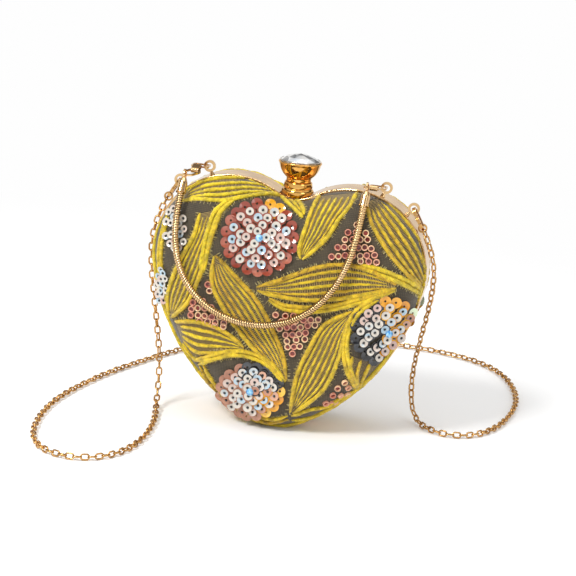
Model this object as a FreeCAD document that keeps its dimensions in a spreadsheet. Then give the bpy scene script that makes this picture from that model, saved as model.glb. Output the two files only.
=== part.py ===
import FreeCAD, Part
import math
import os
import re
import Sketcher
from FreeCAD import Placement, Rotation, Vector

# Heart-shaped hard-shell purse: two domed halves in metal frames, hinged at the tip,
# with a push knob in the cleft, a snake-chain handle and a long link chain.
# Millimetres. +X is the viewer's right, the front faces -Y, +Z is up, and the
# origin is on the standing surface under the tip, in the parting plane.

# Driving dimensions: name, value, meaning
SIZES = [
    # Heart outline, all tangent arcs
    ("lobe_x", 33.0, "lobe centre, out from the middle"),
    ("lobe_z", 94.5, "lobe centre, above the base"),
    ("lobe_radius", 44.0, "lobe arc"),
    ("flank_radius", 117.0, "flank arc between lobe and tip"),
    ("tip_radius", 37.0, "tip arc"),
    ("base_cut", 1.2, "depth of the flat cut at the tip"),
    ("cleft_radius", 19.0, "hollow arc between the lobes"),
    # Metal frames
    ("band_depth", 8.5, "depth of one frame, front to back"),
    ("frame_wall", 1.2, "sheet of the frames"),
    ("flange_width", 3.4, "flange that the shell is glued to"),
    ("frame_round", 0.5, "rounding of the frame's outer edge"),
    # Shells and covers
    ("cover_inset", 1.5, "cover's edge, in from the frame's outline"),
    ("cover_wall", 1.2, "cloth and its padding"),
    ("shell_wall", 1.7, "moulded shell"),
    ("dome_depth", 23.0, "frame edge to the cover's face"),
    ("edge_radius", 22.0, "rounded edge of the dome"),
    # Hinge at the tip
    ("hinge_height", 2.2, "pin axis above the base"),
    ("barrel_radius", 1.8, "hinge knuckles"),
    ("pin_radius", 0.8, "hinge pin"),
    ("hinge_length", 15.0, "all knuckles together"),
    ("knuckle_share", 0.333333, "middle knuckle's share of that length"),
    ("knuckle_gap", 0.2, "between two knuckles"),
    ("leaf_wall", 0.9, "hinge leaf"),
    ("leaf_reach", 6.6, "leaf, from the pin axis"),
    ("pin_clearance", 0.05, "running clearance of the pin"),
    ("barrel_clearance", 0.3, "frame to knuckle"),
    ("bevel_reach", 20.0, "length of the bevel under the hinge, each way"),
    ("bevel_slope", 1.3, "bevel, back per unit of height"),
    # Collar of the clasp, measured up from the cleft
    ("seat_clearance", 0.3, "collar to the cleft it stands in"),
    ("collar_radius", 9.0, "collar's lower ring"),
    ("collar_step", 4.6, "top of the lower ring"),
    ("collar_shoulder", 8.1, "radius above the step"),
    ("collar_height", 8.2, "top of the collar"),
    ("collar_mouth", 7.7, "radius at the top"),
    ("collar_round", 0.6, "rounding of the collar's edges"),
    # Push knob
    ("knob_travel", 2.0, "push of the knob"),
    ("neck_radius", 6.9, "neck that slides in the collar"),
    ("neck_clearance", 0.08, "neck to collar"),
    ("neck_base", 5.0, "underside of the neck"),
    ("cup_gap", 2.0, "corner of the goblet's flare above the collar when pushed down"),
    ("belly_radius", 11.5, "goblet's belly"),
    ("belly_drop", 3.2, "goblet's belly below its rim"),
    ("cup_radius", 12.1, "goblet's rim"),
    ("cup_height", 19.6, "goblet's rim above the cleft"),
    ("cup_wall", 1.0, "goblet's rim wall"),
    ("cup_curve", 3.2, "hollow curve of the goblet"),
    ("seat_depth", 2.0, "crystal's seat below the rim"),
    ("stone_clearance", 0.1, "crystal to its seat"),
    ("stone_rise", 4.4, "crystal's point above the rim"),
    ("stone_table", 3.2, "radius of the ring of small top facets"),
    ("stone_table_drop", 1.0, "ring of top facets below the point"),
    ("stem_radius", 2.0, "stem under the knob"),
    ("stem_clearance", 0.08, "stem to the bridge bore"),
    ("notch_clearance", 0.4, "spring to the notch in the frames"),
    ("spring_wire", 0.8, "wall of the coil spring"),
    ("spring_gap", 0.3, "spring to stem"),
    # Latch inside the frames, measured down from the cleft
    ("bridge_drop", 2.6, "bridge's top below the cleft"),
    ("bridge_wall", 1.4, "bridge plate"),
    ("bridge_width", 16.0, "bridge, left to right"),
    ("hook_drop", 5.4, "hook's top below the cleft"),
    ("hook_wall", 1.2, "hook plate"),
    ("hook_width", 12.0, "hook, left to right"),
    ("hook_reach", 4.6, "hook past the parting plane"),
    ("hook_fork", 5.4, "slot of the forked hook"),
    ("hook_lip", 0.7, "lip under the hook's tips"),
    ("hook_foot", 2.2, "hook's foot up the back frame's flange"),
    ("latch_clearance", 0.25, "latch bar to the hook"),
    ("latch_wall", 2.2, "latch bar, height"),
    ("latch_width", 11.0, "latch bar, left to right"),
    ("latch_depth", 5.2, "latch bar, front to back"),
    # Eyelets on the front frame
    ("handle_angle", 20.0, "handle eyelet on the lobe, from the vertical"),
    ("chain_angle", 42.0, "chain eyelet on the lobe, from the vertical"),
    ("eyelet_radius", 3.3, "eyelet ring"),
    ("eyelet_hole", 1.9, "hole of the eyelet"),
    ("eyelet_wall", 1.4, "eyelet ring, front to back"),
    ("eyelet_height", 5.2, "ring's centre above the frame"),
    ("post_radius", 1.5, "eyelet's foot"),
    # Handle
    ("clip_reach", 9.0, "wire loop, end to end"),
    ("clip_width", 10.0, "wire loop, across"),
    ("clip_wire", 0.9, "wire of the loop"),
    ("clip_corner", 1.6, "rounded corners of the loop"),
    ("clip_overhang", 2.0, "wire loop behind its eyelet"),
    ("tab_length", 8.4, "folded tab along the clip"),
    ("tab_width", 4.2, "folded tab across"),
    ("tab_height", 2.9, "folded tab's thickness"),
    ("tab_sheet", 0.6, "sheet of the folded tab"),
    ("tab_shift", 1.2, "folded tab, left of the loop's middle"),
    ("ring_length", 10.7, "oval ring, end to end"),
    ("ring_width", 7.2, "oval ring, across"),
    ("ring_wire", 1.0, "wire of the oval ring"),
    ("ring_slack", 1.3, "ring's end to the tab's fold"),
    ("cord_radius", 2.0, "snake chain"),
    ("cap_radius", 2.5, "end cap"),
    ("cap_length", 8.5, "end cap"),
    ("cap_loop", 2.8, "loop on the end cap"),
    ("cap_loop_hole", 1.95, "hole of that loop"),
    ("cap_loop_wall", 1.0, "that loop's thickness"),
    ("cap_neck", 1.5, "end cap's top"),
    ("cap_bead", 0.35, "bead round the end cap's mouth"),
    # Shoulder chain
    ("chain_radius", 1.9, "half the width of the links"),
    ("clasp_length", 13.0, "lobster clasp, end to end"),
    ("clasp_width", 6.4, "lobster clasp, across"),
    ("clasp_wire", 1.4, "bow of the clasp"),
    ("clasp_thickness", 1.8, "clasp, outwards"),
    ("clasp_lean", 30.0, "clasp's lean outwards, in degrees"),
    ("gate_length", 5.0, "gap that the lever closes"),
    ("gate_shift", 0.6, "gap towards the chain"),
    ("gate_clearance", 0.25, "lever to the bow"),
    ("lever_tab", 1.5, "thumb tab of the lever"),
    ("link_radius", 2.6, "jump ring under the clasp"),
    ("link_wire", 1.0, "wire of the jump ring"),
]

# Snake chain, cap to cap, as it hangs in front of the shell: shares of the heart's half width,
# of the depth of one half and of the heart's height
HANDLE_SHARES = [
    (-0.77792, -0.87302, 0.92708), (-0.78182, -1.07937, 0.84477), (-0.76623, -1.15873, 0.72202),
    (-0.68831, -1.19048, 0.59928), (-0.51948, -1.20000, 0.50181), (-0.28571, -1.20635, 0.45126),
    (-0.03896, -1.20635, 0.45126), (0.18831, -1.20000, 0.50181), (0.37013, -1.19365, 0.60289),
    (0.48052, -1.18413, 0.72924), (0.52727, -1.11746, 0.85921), (0.53506, -0.88571, 0.96318),
]

# Shoulder chain from the left clasp over the surface and round the back to the right clasp
CHAIN_ROUTE = [
    (-73.3, -4.3, 118.2), (-79.6, -4.3, 103.0), (-79.0, -4.3, 81.0), (-74.2, -4.3, 55.0),
    (-69.8, -4.4, 30.0), (-68.8, -5.4, 15.0), (-67.6, -12.2, 5.0), (-65.0, -23.5, 2.1),
    (-61.0, -43.0, 2.0), (-58.6, -70.0, 2.0), (-60.6, -97.0, 2.0), (-68.5, -115.5, 2.0),
    (-83.0, -125.0, 2.0), (-99.0, -121.5, 2.0), (-110.5, -108.0, 2.0), (-117.5, -86.0, 2.0),
    (-121.5, -58.0, 2.0), (-121.8, -30.0, 2.0), (-118.2, -2.0, 2.0), (-110.8, 33.0, 2.0),
    (-99.0, 68.0, 2.0), (-85.0, 105.0, 2.0), (-64.0, 139.5, 2.0), (-33.0, 168.0, 2.0),
    (6.0, 186.0, 2.0), (45.0, 192.5, 2.0), (74.0, 188.5, 2.0), (98.0, 177.0, 2.0),
    (114.5, 156.5, 2.0), (124.5, 128.0, 2.0), (129.5, 95.0, 2.0), (127.6, 62.0, 2.0),
    (121.8, 33.0, 2.0), (111.0, 13.5, 2.0), (97.0, 8.0, 2.0), (86.5, 13.2, 2.0),
    (78.6, 22.4, 2.2), (73.0, 31.4, 7.4), (71.0, 34.2, 19.0), (71.8, 28.6, 34.0), (74.6, 19.4, 51.0),
    (78.4, 8.4, 70.0), (80.8, -0.6, 88.0), (80.2, -4.2, 104.0), (73.3, -4.3, 118.2),
]
CHAIN_BREAKS = (16, 30)
RUN_SHARE = 0.45
LEFT, RIGHT = -1, 1
TOUCH = Part.Precision.confusion() * 100

doc = FreeCAD.newDocument("heart_purse")
sheet = doc.addObject("Spreadsheet::Sheet", "sizes")
for row, (alias, value, meaning) in enumerate(SIZES, 1):
    sheet.set("A%d" % row, meaning)
    sheet.set("B%d" % row, str(value))
    sheet.setAlias("B%d" % row, alias)
doc.recompute()


def amount(text):
    """Value of a sum of sizes such as 'band_depth - frame_wall'; a term may be a product or a number."""
    total, sign = 0.0, 1.0
    for word in text.split():
        if word in "+-":
            sign = 1.0 if word == "+" else -1.0
            continue
        product = 1.0
        for factor in word.split("*"):
            known = re.fullmatch(r"[a-z_]+", factor)
            product *= float(sheet.get(factor)) if known else float(factor)
        total += sign * product
    return total


def formula(text):
    """The same sum as an expression that reads the sheet."""
    return re.sub(r"[a-z_]{3,}", lambda word: "sizes." + word.group(0), text)


def bind(thing, **texts):
    """Tie properties to sums of sizes."""
    for name, text in texts.items():
        thing.setExpression(name, formula(text))
    return thing


def solid(kind, name, at=("0", "0", "0"), turn=None, **texts):
    """A Part primitive with its sizes and place tied to the sheet."""
    thing = doc.addObject("Part::" + kind, name)
    if turn:
        thing.Placement = Placement(Vector(), Rotation(*turn))
    bind(thing, **texts)
    for axis, text in zip("xyz", at):
        thing.setExpression(".Placement.Base." + axis, formula(text))
    return thing


def fuse(name, pieces):
    """One solid out of several."""
    thing = doc.addObject("Part::MultiFuse", name)
    thing.Shapes = pieces
    thing.Refine = True
    return thing


def cut(name, base, tool):
    """The base less the tool."""
    thing = doc.addObject("Part::Cut", name)
    thing.Base = base
    thing.Tool = tool
    return thing


# Sketches

def sketch_on(body, name, role, offset=None):
    """A sketch on one of the body's origin planes."""
    sketch = body.newObject("Sketcher::SketchObject", name)
    plane = next(part for part in body.Origin.OriginFeatures if part.Role == role)
    sketch.AttachmentSupport = [(plane, "")]
    sketch.MapMode = "FlatFace"
    if offset:
        sketch.setExpression(".AttachmentOffset.Base.z", formula(offset))
    return sketch


def hold(sketch, kind, *where, text=None):
    """A constraint, tied to the sheet where it has a size."""
    if text is None:
        return sketch.addConstraint(Sketcher.Constraint(kind, *where))
    index = sketch.addConstraint(Sketcher.Constraint(kind, *where, amount(text)))
    sketch.setExpression("Constraints[%d]" % index, formula(text))
    return index


def polygon(sketch, corners):
    """A closed outline through corners given as pairs of sums of sizes."""
    first = sketch.GeometryCount
    points = [Vector(amount(across), amount(up), 0) for across, up in corners]
    for here, there in zip(points, points[1:] + points[:1]):
        sketch.addGeometry(Part.LineSegment(here, there))
    for step, (across, up) in enumerate(corners):
        line = first + step
        hold(sketch, "Coincident", line, 2, first + (step + 1) % len(corners), 1)
        for kind, text, size in (("DistanceX", across, points[step].x), ("DistanceY", up, points[step].y)):
            if text == "0":
                hold(sketch, "PointOnObject", line, 1, -2 if kind == "DistanceX" else -1)
            elif size < 0:
                flipped = text.translate(str.maketrans("+-", "-+"))
                flipped = flipped[2:] if flipped.startswith("+ ") else "0 - " + flipped
                hold(sketch, kind, line, 1, -1, 1, text=flipped)
            else:
                hold(sketch, kind, -1, 1, line, 1, text=text)


def circle(sketch, radius, across="0", up="0"):
    """A circle whose centre is a pair of sums of sizes."""
    centre = Vector(amount(across), amount(up), 0)
    ring = sketch.addGeometry(Part.Circle(centre, Vector(0, 0, 1), amount(radius)))
    hold(sketch, "Radius", ring, text=radius)
    for kind, text in (("DistanceX", across), ("DistanceY", up)):
        if text == "0":
            hold(sketch, "PointOnObject", ring, 3, -2 if kind == "DistanceX" else -1)
        else:
            hold(sketch, kind, -1, 1, ring, 3, text=text)


def arc(centre, radius, start, end):
    """An arc that runs anticlockwise from start to end."""
    first = math.atan2(start.y - centre.y, start.x - centre.x)
    last = math.atan2(end.y - centre.y, end.x - centre.x)
    return Part.ArcOfCircle(Part.Circle(centre, Vector(0, 0, 1), radius), first, last)


def slot(sketch, length, width):
    """A straight slot with round ends, centred, along the sketch's first axis."""
    half, far = amount(width) / 2, (amount(length) - amount(width)) / 2
    right = sketch.addGeometry(arc(Vector(far, 0, 0), half, Vector(far, -half, 0), Vector(far, half, 0)))
    top = sketch.addGeometry(Part.LineSegment(Vector(far, half, 0), Vector(-far, half, 0)))
    left = sketch.addGeometry(arc(Vector(-far, 0, 0), half, Vector(-far, half, 0), Vector(-far, -half, 0)))
    low = sketch.addGeometry(Part.LineSegment(Vector(-far, -half, 0), Vector(far, -half, 0)))
    for here, there in ((right, top), (top, left), (left, low), (low, right)):
        hold(sketch, "Tangent", here, 2, there, 1)
    for end, side in ((right, 1), (left, -1)):
        index = sketch.addConstraint(Sketcher.Constraint("Radius", end, half))
        sketch.setExpression("Constraints[%d]" % index, "(%s) / 2" % formula(width))
        hold(sketch, "PointOnObject", end, 3, -1)
        ends = (-1, 1, end, 3) if side > 0 else (end, 3, -1, 1)
        index = sketch.addConstraint(Sketcher.Constraint("DistanceX", *ends, far))
        sketch.setExpression("Constraints[%d]" % index,
                             "(%s - (%s)) / 2" % (formula(length), formula(width)))


def meet(centre_a, reach_a, centre_b, reach_b):
    """The point left of the line from a to b that lies at both reaches."""
    along = centre_b.sub(centre_a)
    gap = along.Length
    foot = (reach_a ** 2 - reach_b ** 2 + gap ** 2) / (2 * gap)
    aside = math.sqrt(reach_a ** 2 - foot ** 2)
    step = along / gap
    return centre_a.add(step * foot).add(Vector(step.y, -step.x, 0) * aside)


def heart(sketch, inset):
    """The heart's outline, moved in by a sum of sizes; every layer of the purse comes from it."""
    inward = amount(inset)
    lobe = Vector(amount("lobe_x"), amount("lobe_z"), 0)
    tip = Vector(0, amount("tip_radius - base_cut"), 0)
    radius = {name: amount(name + "_radius") - inward for name in ("lobe", "flank", "tip")}
    hollow = amount("cleft_radius") + inward
    flank = meet(lobe, radius["flank"] - radius["lobe"], tip, radius["flank"] - radius["tip"])
    rise = math.sqrt((radius["lobe"] + hollow) ** 2 - lobe.x ** 2)
    cleft = Vector(0, lobe.y + rise, 0)

    def toward(start, end, reach):
        return start.add((end.sub(start)).normalize() * reach)

    over = toward(lobe, cleft, radius["lobe"])
    side = toward(flank, lobe, radius["flank"])
    under = toward(flank, tip, radius["flank"])

    def mirrored(point):
        return Vector(-point.x, point.y, 0)

    first = sketch.GeometryCount
    names = ("lobe_right", "cleft", "lobe_left", "flank_left", "tip", "flank_right")
    at = {name: first + step for step, name in enumerate(names)}
    sketch.addGeometry(arc(lobe, radius["lobe"], side, over))
    sketch.addGeometry(arc(cleft, hollow, mirrored(over), over))
    sketch.addGeometry(arc(mirrored(lobe), radius["lobe"], mirrored(over), mirrored(side)))
    sketch.addGeometry(arc(mirrored(flank), radius["flank"], mirrored(side), mirrored(under)))
    sketch.addGeometry(arc(tip, radius["tip"], mirrored(under), under))
    sketch.addGeometry(arc(flank, radius["flank"], under, side))
    for here, end, there, start in (
            ("lobe_right", 2, "cleft", 2), ("cleft", 1, "lobe_left", 1), ("lobe_left", 2, "flank_left", 1),
            ("flank_left", 2, "tip", 1), ("tip", 2, "flank_right", 1), ("flank_right", 2, "lobe_right", 1)):
        hold(sketch, "Tangent", at[here], end, at[there], start)
    less = " - " + " - ".join(inset.split(" + ")) if inward else ""
    more = " + " + inset if inward else ""
    for side_name, ends in (("right", lambda part: (-1, 1, part, 3)),
                            ("left", lambda part: (part, 3, -1, 1))):
        hold(sketch, "Radius", at["lobe_" + side_name], text="lobe_radius" + less)
        hold(sketch, "Radius", at["flank_" + side_name], text="flank_radius" + less)
        hold(sketch, "DistanceX", *ends(at["lobe_" + side_name]), text="lobe_x")
        hold(sketch, "DistanceY", -1, 1, at["lobe_" + side_name], 3, text="lobe_z")
    hold(sketch, "Radius", at["tip"], text="tip_radius" + less)
    hold(sketch, "PointOnObject", at["tip"], 3, -2)
    hold(sketch, "DistanceY", -1, 1, at["tip"], 3, text="tip_radius - base_cut")
    hold(sketch, "Radius", at["cleft"], text="cleft_radius" + more)


# Part-design features

def new_body(name):
    """A body whose label names its file."""
    body = doc.addObject("PartDesign::Body", name)
    body.Label = name
    return body


def pad(body, sketch, length, middle=False, back=False):
    """The sketch pulled along its normal, or evenly both ways."""
    feature = body.newObject("PartDesign::Pad", sketch.Name + "_pad")
    feature.Profile = sketch
    feature.SideType = "Symmetric" if middle else "One side"
    feature.Reversed = back
    bind(feature, Length=length)
    sketch.Visibility = False
    doc.recompute()
    return feature


def pocket(body, sketch, length, middle=False, along=False):
    """A cut along the sketch's normal, against it, or evenly both ways."""
    before = body.Shape.Volume
    feature = body.newObject("PartDesign::Pocket", sketch.Name + "_cut")
    feature.Profile = sketch
    feature.SideType = "Symmetric" if middle else "One side"
    feature.Reversed = along
    bind(feature, Length=length)
    doc.recompute()
    if body.Shape.Volume >= before:
        raise RuntimeError(sketch.Name + " cuts nothing")
    return feature


def turned(body, sketch):
    """The sketch turned round its own upright axis."""
    feature = body.newObject("PartDesign::Revolution", sketch.Name + "_turn")
    feature.Profile = sketch
    feature.ReferenceAxis = (sketch, ["V_Axis"])
    feature.Angle = 360
    doc.recompute()
    return feature


def rounded(body, base, radius, chosen):
    """A fillet on the edges that the test picks out."""
    names = ["Edge%d" % (count + 1) for count, edge in enumerate(base.Shape.Edges) if chosen(edge)]
    feature = body.newObject("PartDesign::Fillet", base.Name + "_round")
    feature.Base = (base, names)
    bind(feature, Radius=radius)
    doc.recompute()
    return feature


def at_depth(depth):
    """Test for edges that lie in the plane that far in front of the parting plane."""
    def chosen(edge):
        box = edge.BoundBox
        return max(abs(box.YMin + depth), abs(box.YMax + depth)) < TOUCH
    return chosen


def mirrored_back(name, source):
    """The back half's copy of a front piece."""
    copy = doc.addObject("Part::Mirroring", name)
    copy.Label = name
    copy.Source = source
    copy.Normal = Vector(0, 1, 0)
    return copy


def make_frame():
    """Metal frame: a band with a flange, bevelled under the hinge and notched for the stem."""
    body = new_body("front_frame")
    band = sketch_on(body, "band", "XZ_Plane")
    heart(band, "0")
    outer = pad(body, band, "band_depth")
    rounded(body, outer, "frame_round", at_depth(amount("band_depth")))
    hollow = sketch_on(body, "hollow", "XZ_Plane")
    heart(hollow, "frame_wall")
    pocket(body, hollow, "band_depth - frame_wall", along=True)
    window = sketch_on(body, "window", "XZ_Plane")
    heart(window, "frame_wall + flange_width")
    pocket(body, window, "band_depth", along=True)
    plate = sketch_on(body, "hinge_seat", "XZ_Plane")
    seat = "hinge_length*0.5 + frame_wall"
    polygon(plate, [("0 - hinge_length*0.5 - frame_wall", "0 - base_cut*0.5"), (seat, "0 - base_cut*0.5"),
                    (seat, "frame_wall"), ("0 - hinge_length*0.5 - frame_wall", "frame_wall")])
    pad(body, plate, "band_depth - frame_wall")
    flat = sketch_on(body, "base_flat", "XZ_Plane")
    polygon(flat, [("0 - tip_radius", "0"), ("0 - tip_radius", "0 - tip_radius"),
                   ("tip_radius", "0 - tip_radius"), ("tip_radius", "0")])
    pocket(body, flat, "band_depth", along=True)
    bevel = sketch_on(body, "bevel", "YZ_Plane")
    low = "0 - base_cut"
    polygon(bevel, [("0", "hinge_height"), ("0 - bevel_slope*hinge_height - bevel_slope*base_cut", low),
                    ("0", low)])
    pocket(body, bevel, "2*bevel_reach", middle=True)
    relief = sketch_on(body, "barrel_relief", "YZ_Plane")
    circle(relief, "barrel_radius + barrel_clearance", "0", "hinge_height")
    pocket(body, relief, "hinge_length + 2*barrel_clearance", middle=True)
    notch = sketch_on(body, "stem_notch", "XY_Plane", "lobe_z")
    circle(notch, "stem_radius + spring_gap + spring_wire + notch_clearance")
    pocket(body, notch, "lobe_radius", along=True)
    return body


def make_block(name, lost):
    """The solid under one layer of the dome: a heart pulled forward with its edge rounded."""
    body = new_body(name)
    outline = sketch_on(body, name + "_outline", "XZ_Plane", "band_depth")
    heart(outline, "cover_inset" + lost.replace(" - ", " + "))
    pulled = pad(body, outline, "dome_depth" + lost)
    rounded(body, pulled, "edge_radius" + lost, at_depth(amount("band_depth + dome_depth" + lost)))
    return body


def make_domes():
    """Embroidered cover over a moulded shell, as trays that open at the frame."""
    whole = make_block("dome_whole", "")
    under_cover = make_block("dome_under_cover", " - cover_wall")
    inside = make_block("dome_inside", " - cover_wall - shell_wall")
    for name, outer, inner in (("cover", whole, under_cover), ("shell", under_cover, inside)):
        tray = cut("front_" + name, outer, inner)
        tray.Label = "front_" + name
        mirrored_back("back_" + name, tray)


def make_hinge():
    """Three knuckles on a pin: the outer two on the back leaf, the middle one on the front leaf."""
    third = "hinge_length*knuckle_share"
    pin = solid("Cylinder", "hinge_pin", ("0 - hinge_length*0.5", "0", "hinge_height"), (Vector(0, 1, 0), 90),
                Radius="pin_radius", Height="hinge_length")
    pin.Label = "hinge_pin"
    for name, side, starts in (
            ("front_hinge_leaf", LEFT, ["0 - %s*0.5 + knuckle_gap*0.5" % third]),
            ("back_hinge_leaf", RIGHT, ["0 - hinge_length*0.5", third + "*0.5 + knuckle_gap*0.5"])):
        long = third + " - knuckle_gap" if side == LEFT else third + " - knuckle_gap*0.5"
        pieces = []
        for count, start in enumerate(starts):
            tag = "%s_%d" % (name, count)
            pieces.append(solid("Cylinder", tag + "_barrel", (start, "0", "hinge_height"),
                                (Vector(0, 1, 0), 90), Radius="barrel_radius", Height=long))
            near = "0 - leaf_reach" if side == LEFT else "0"
            pieces.append(solid("Box", tag + "_leaf", (start, near, "frame_wall"),
                                Length=long, Width="leaf_reach", Height="leaf_wall"))
        bore = solid("Cylinder", name + "_bore", ("0 - hinge_length", "0", "hinge_height"),
                     (Vector(0, 1, 0), 90), Radius="pin_radius + pin_clearance", Height="2*hinge_length")
        if len(pieces) > 2:
            plate = solid("Box", name + "_plate", ("0 - hinge_length*0.5", "leaf_reach*0.6", "frame_wall"),
                          Length="hinge_length", Width="leaf_reach*0.4", Height="leaf_wall")
            pieces.append(plate)
        leaf = cut(name, fuse(name + "_joined", pieces), bore)
        leaf.Label = name


def cleft_floor():
    """Expression for the height of the cleft's lowest point."""
    return formula("lobe_z + sqrt((lobe_radius + cleft_radius) ^ 2 - lobe_x ^ 2) - cleft_radius").replace(
        "sizes.sqrt", "sqrt")


def lift(thing, extra="0"):
    """Stand a piece on the cleft's lowest point."""
    thing.setExpression(".Placement.Base.z", cleft_floor() + " + " + formula(extra))
    return thing


def make_collar():
    """Bell-shaped collar that stands in the cleft on the front frame, with the neck's bore."""
    body = new_body("collar_bell")
    bell = sketch_on(body, "bell", "XZ_Plane")
    bore = "neck_radius + neck_clearance"
    polygon(bell, [(bore, "0"), ("collar_radius", "0"), ("collar_radius", "collar_step"),
                   ("collar_shoulder", "collar_step"), ("collar_mouth", "collar_height"),
                   (bore, "collar_height")])
    turn = turned(body, bell)
    low = amount("collar_step") / 2
    rounded(body, turn, "collar_round*0.5", lambda edge: edge.BoundBox.ZMin > low
            and edge.BoundBox.XMax > amount("collar_mouth") - amount("collar_round"))
    lift(body)
    saddle = solid("Cylinder", "collar_saddle", ("0", "collar_radius", "0"), (Vector(1, 0, 0), 90),
                   Radius="cleft_radius - seat_clearance", Height="2*collar_radius")
    lift(saddle, "cleft_radius")
    collar = doc.addObject("Part::Common", "clasp_collar")
    collar.Base = body
    collar.Tool = saddle
    collar.Label = "clasp_collar"


def make_bridge():
    """Plate under the cleft on the front frame that guides the stem."""
    body = new_body("clasp_bridge")
    plan = sketch_on(body, "bridge_plan", "XY_Plane", "0 - bridge_drop - bridge_wall")
    half = "bridge_width*0.5"
    root = "0 - band_depth + frame_wall"
    polygon(plan, [("0 - " + half, root), (half, root), (half, "stem_radius + bridge_wall"),
                   ("0 - " + half, "stem_radius + bridge_wall")])
    pad(body, plan, "bridge_wall")
    hole = sketch_on(body, "bridge_hole", "XY_Plane", "0 - bridge_drop - bridge_wall")
    circle(hole, "stem_radius + stem_clearance")
    pocket(body, hole, "bridge_wall", along=True)
    lift(body)


def make_hook():
    """Forked hook on the back frame, with a lip under each tip in front of the latch bar."""
    body = new_body("catch_hook")
    plan = sketch_on(body, "hook_plan", "XY_Plane", "0 - hook_drop - hook_wall")
    half, gap = "hook_width*0.5", "hook_fork*0.5"
    root, end, throat = "band_depth - frame_wall", "0 - hook_reach", "stem_radius + hook_wall"
    polygon(plan, [(half, root), ("0 - " + half, root), ("0 - " + half, end), ("0 - " + gap, end),
                   ("0 - " + gap, throat), (gap, throat), (gap, end), (half, end)])
    pad(body, plan, "hook_wall")
    lips = sketch_on(body, "hook_lips", "XY_Plane", "0 - hook_drop - hook_wall")
    inner = "0 - hook_reach + hook_wall"
    for near, far in ((gap, half), ("0 - " + half, "0 - " + gap)):
        polygon(lips, [(near, end), (far, end), (far, inner), (near, inner)])
    pad(body, lips, "hook_lip", back=True)
    foot = sketch_on(body, "hook_root", "XY_Plane", "0 - hook_drop - hook_wall")
    polygon(foot, [("0 - " + half, root + " - hook_wall"), (half, root + " - hook_wall"), (half, root),
                   ("0 - " + half, root)])
    pad(body, foot, "hook_wall + hook_foot")
    lift(body)


def make_knob():
    """Push knob: goblet with a neck, faceted crystal, stem, latch bar and the spring under the neck."""
    body = new_body("knob_cup")
    profile = sketch_on(body, "goblet", "XZ_Plane")
    inner = "cup_radius - cup_wall"
    widens = "collar_height + knob_travel + cup_gap"
    polygon(profile, [("0", "neck_base"), ("neck_radius", "neck_base"), ("neck_radius", widens),
                      ("belly_radius", "cup_height - belly_drop"), ("cup_radius", "cup_height"),
                      (inner, "cup_height"), (inner, "cup_height - seat_depth"),
                      ("0", "cup_height - seat_depth")])
    turn = turned(body, profile)
    start = amount(widens)
    rounded(body, turn, "cup_curve", lambda edge: edge.BoundBox.ZLength < TOUCH
            and abs(edge.BoundBox.ZMin - start) < TOUCH)
    lift(body)

    sides = 8
    girdle = amount("cup_radius - cup_wall - stone_clearance")
    low = amount("cup_height - seat_depth")
    rim = amount("cup_height")
    top = amount("cup_height + stone_rise")

    def ring(radius, height, half_steps):
        turns = [math.pi * (2 * count + half_steps) / sides for count in range(sides)]
        points = [Vector(radius * math.cos(turn), radius * math.sin(turn), height) for turn in turns]
        return points

    base = ring(girdle, low, 0)
    edge = ring(girdle, rim, 0)
    table = ring(amount("stone_table"), top - amount("stone_table_drop"), 1)
    point = Vector(0, 0, top)
    faces = [base]
    for count in range(sides):
        after = (count + 1) % sides
        faces.append([base[count], base[after], edge[after], edge[count]])
        faces.append([edge[count], edge[after], table[count]])
        faces.append([table[count], edge[after], table[after]])
        faces.append([table[count], table[after], point])
    shell = Part.Shell([Part.Face(Part.makePolygon(corners + corners[:1])) for corners in faces])
    stone = doc.addObject("Part::Feature", "knob_crystal")
    stone.Shape = Part.Solid(shell)
    if stone.Shape.Volume < 0:
        stone.Shape = stone.Shape.reversed()
    stone.Label = "knob_crystal"
    lift(stone)

    stem_low = "0 - hook_drop - hook_wall - latch_clearance - hook_lip - latch_wall"
    stem = solid("Cylinder", "knob_stem", Radius="stem_radius",
                 Height="neck_base + hook_drop + hook_wall + latch_clearance + hook_lip")
    stem.Label = "knob_stem"
    lift(stem, stem_low + " + latch_wall")
    bar = solid("Box", "latch_bar", ("0 - latch_width*0.5", "0 - latch_depth*0.5", "0"),
                Length="latch_width", Width="latch_depth", Height="latch_wall")
    bar.Label = "latch_bar"
    lift(bar, stem_low)

    gap = "stem_radius + spring_gap"
    low_end = "0 - bridge_drop"
    height = "neck_base + bridge_drop"
    coil = solid("Cylinder", "spring_outside", Radius=gap + " + spring_wire", Height=height)
    bore = solid("Cylinder", "spring_inside", Radius=gap, Height=height)
    lift(coil, low_end)
    lift(bore, low_end)
    spring = cut("knob_spring", coil, bore)
    spring.Label = "knob_spring"


def lobe_place(side, angle):
    """Place on the lobe's outline, halfway across the front frame, with local Z pointing outwards."""
    turn = math.radians(amount(angle))
    foot = Vector(side * (amount("lobe_x") + amount("lobe_radius") * math.sin(turn)),
                  -amount("band_depth") / 2,
                  amount("lobe_z") + amount("lobe_radius") * math.cos(turn))
    return Placement(foot, Rotation(Vector(0, 1, 0), side * amount(angle)))


def ring_centre(side, angle):
    """Middle of an eyelet's hole."""
    return lobe_place(side, angle).multVec(Vector(0, 0, amount("eyelet_height")))


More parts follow.
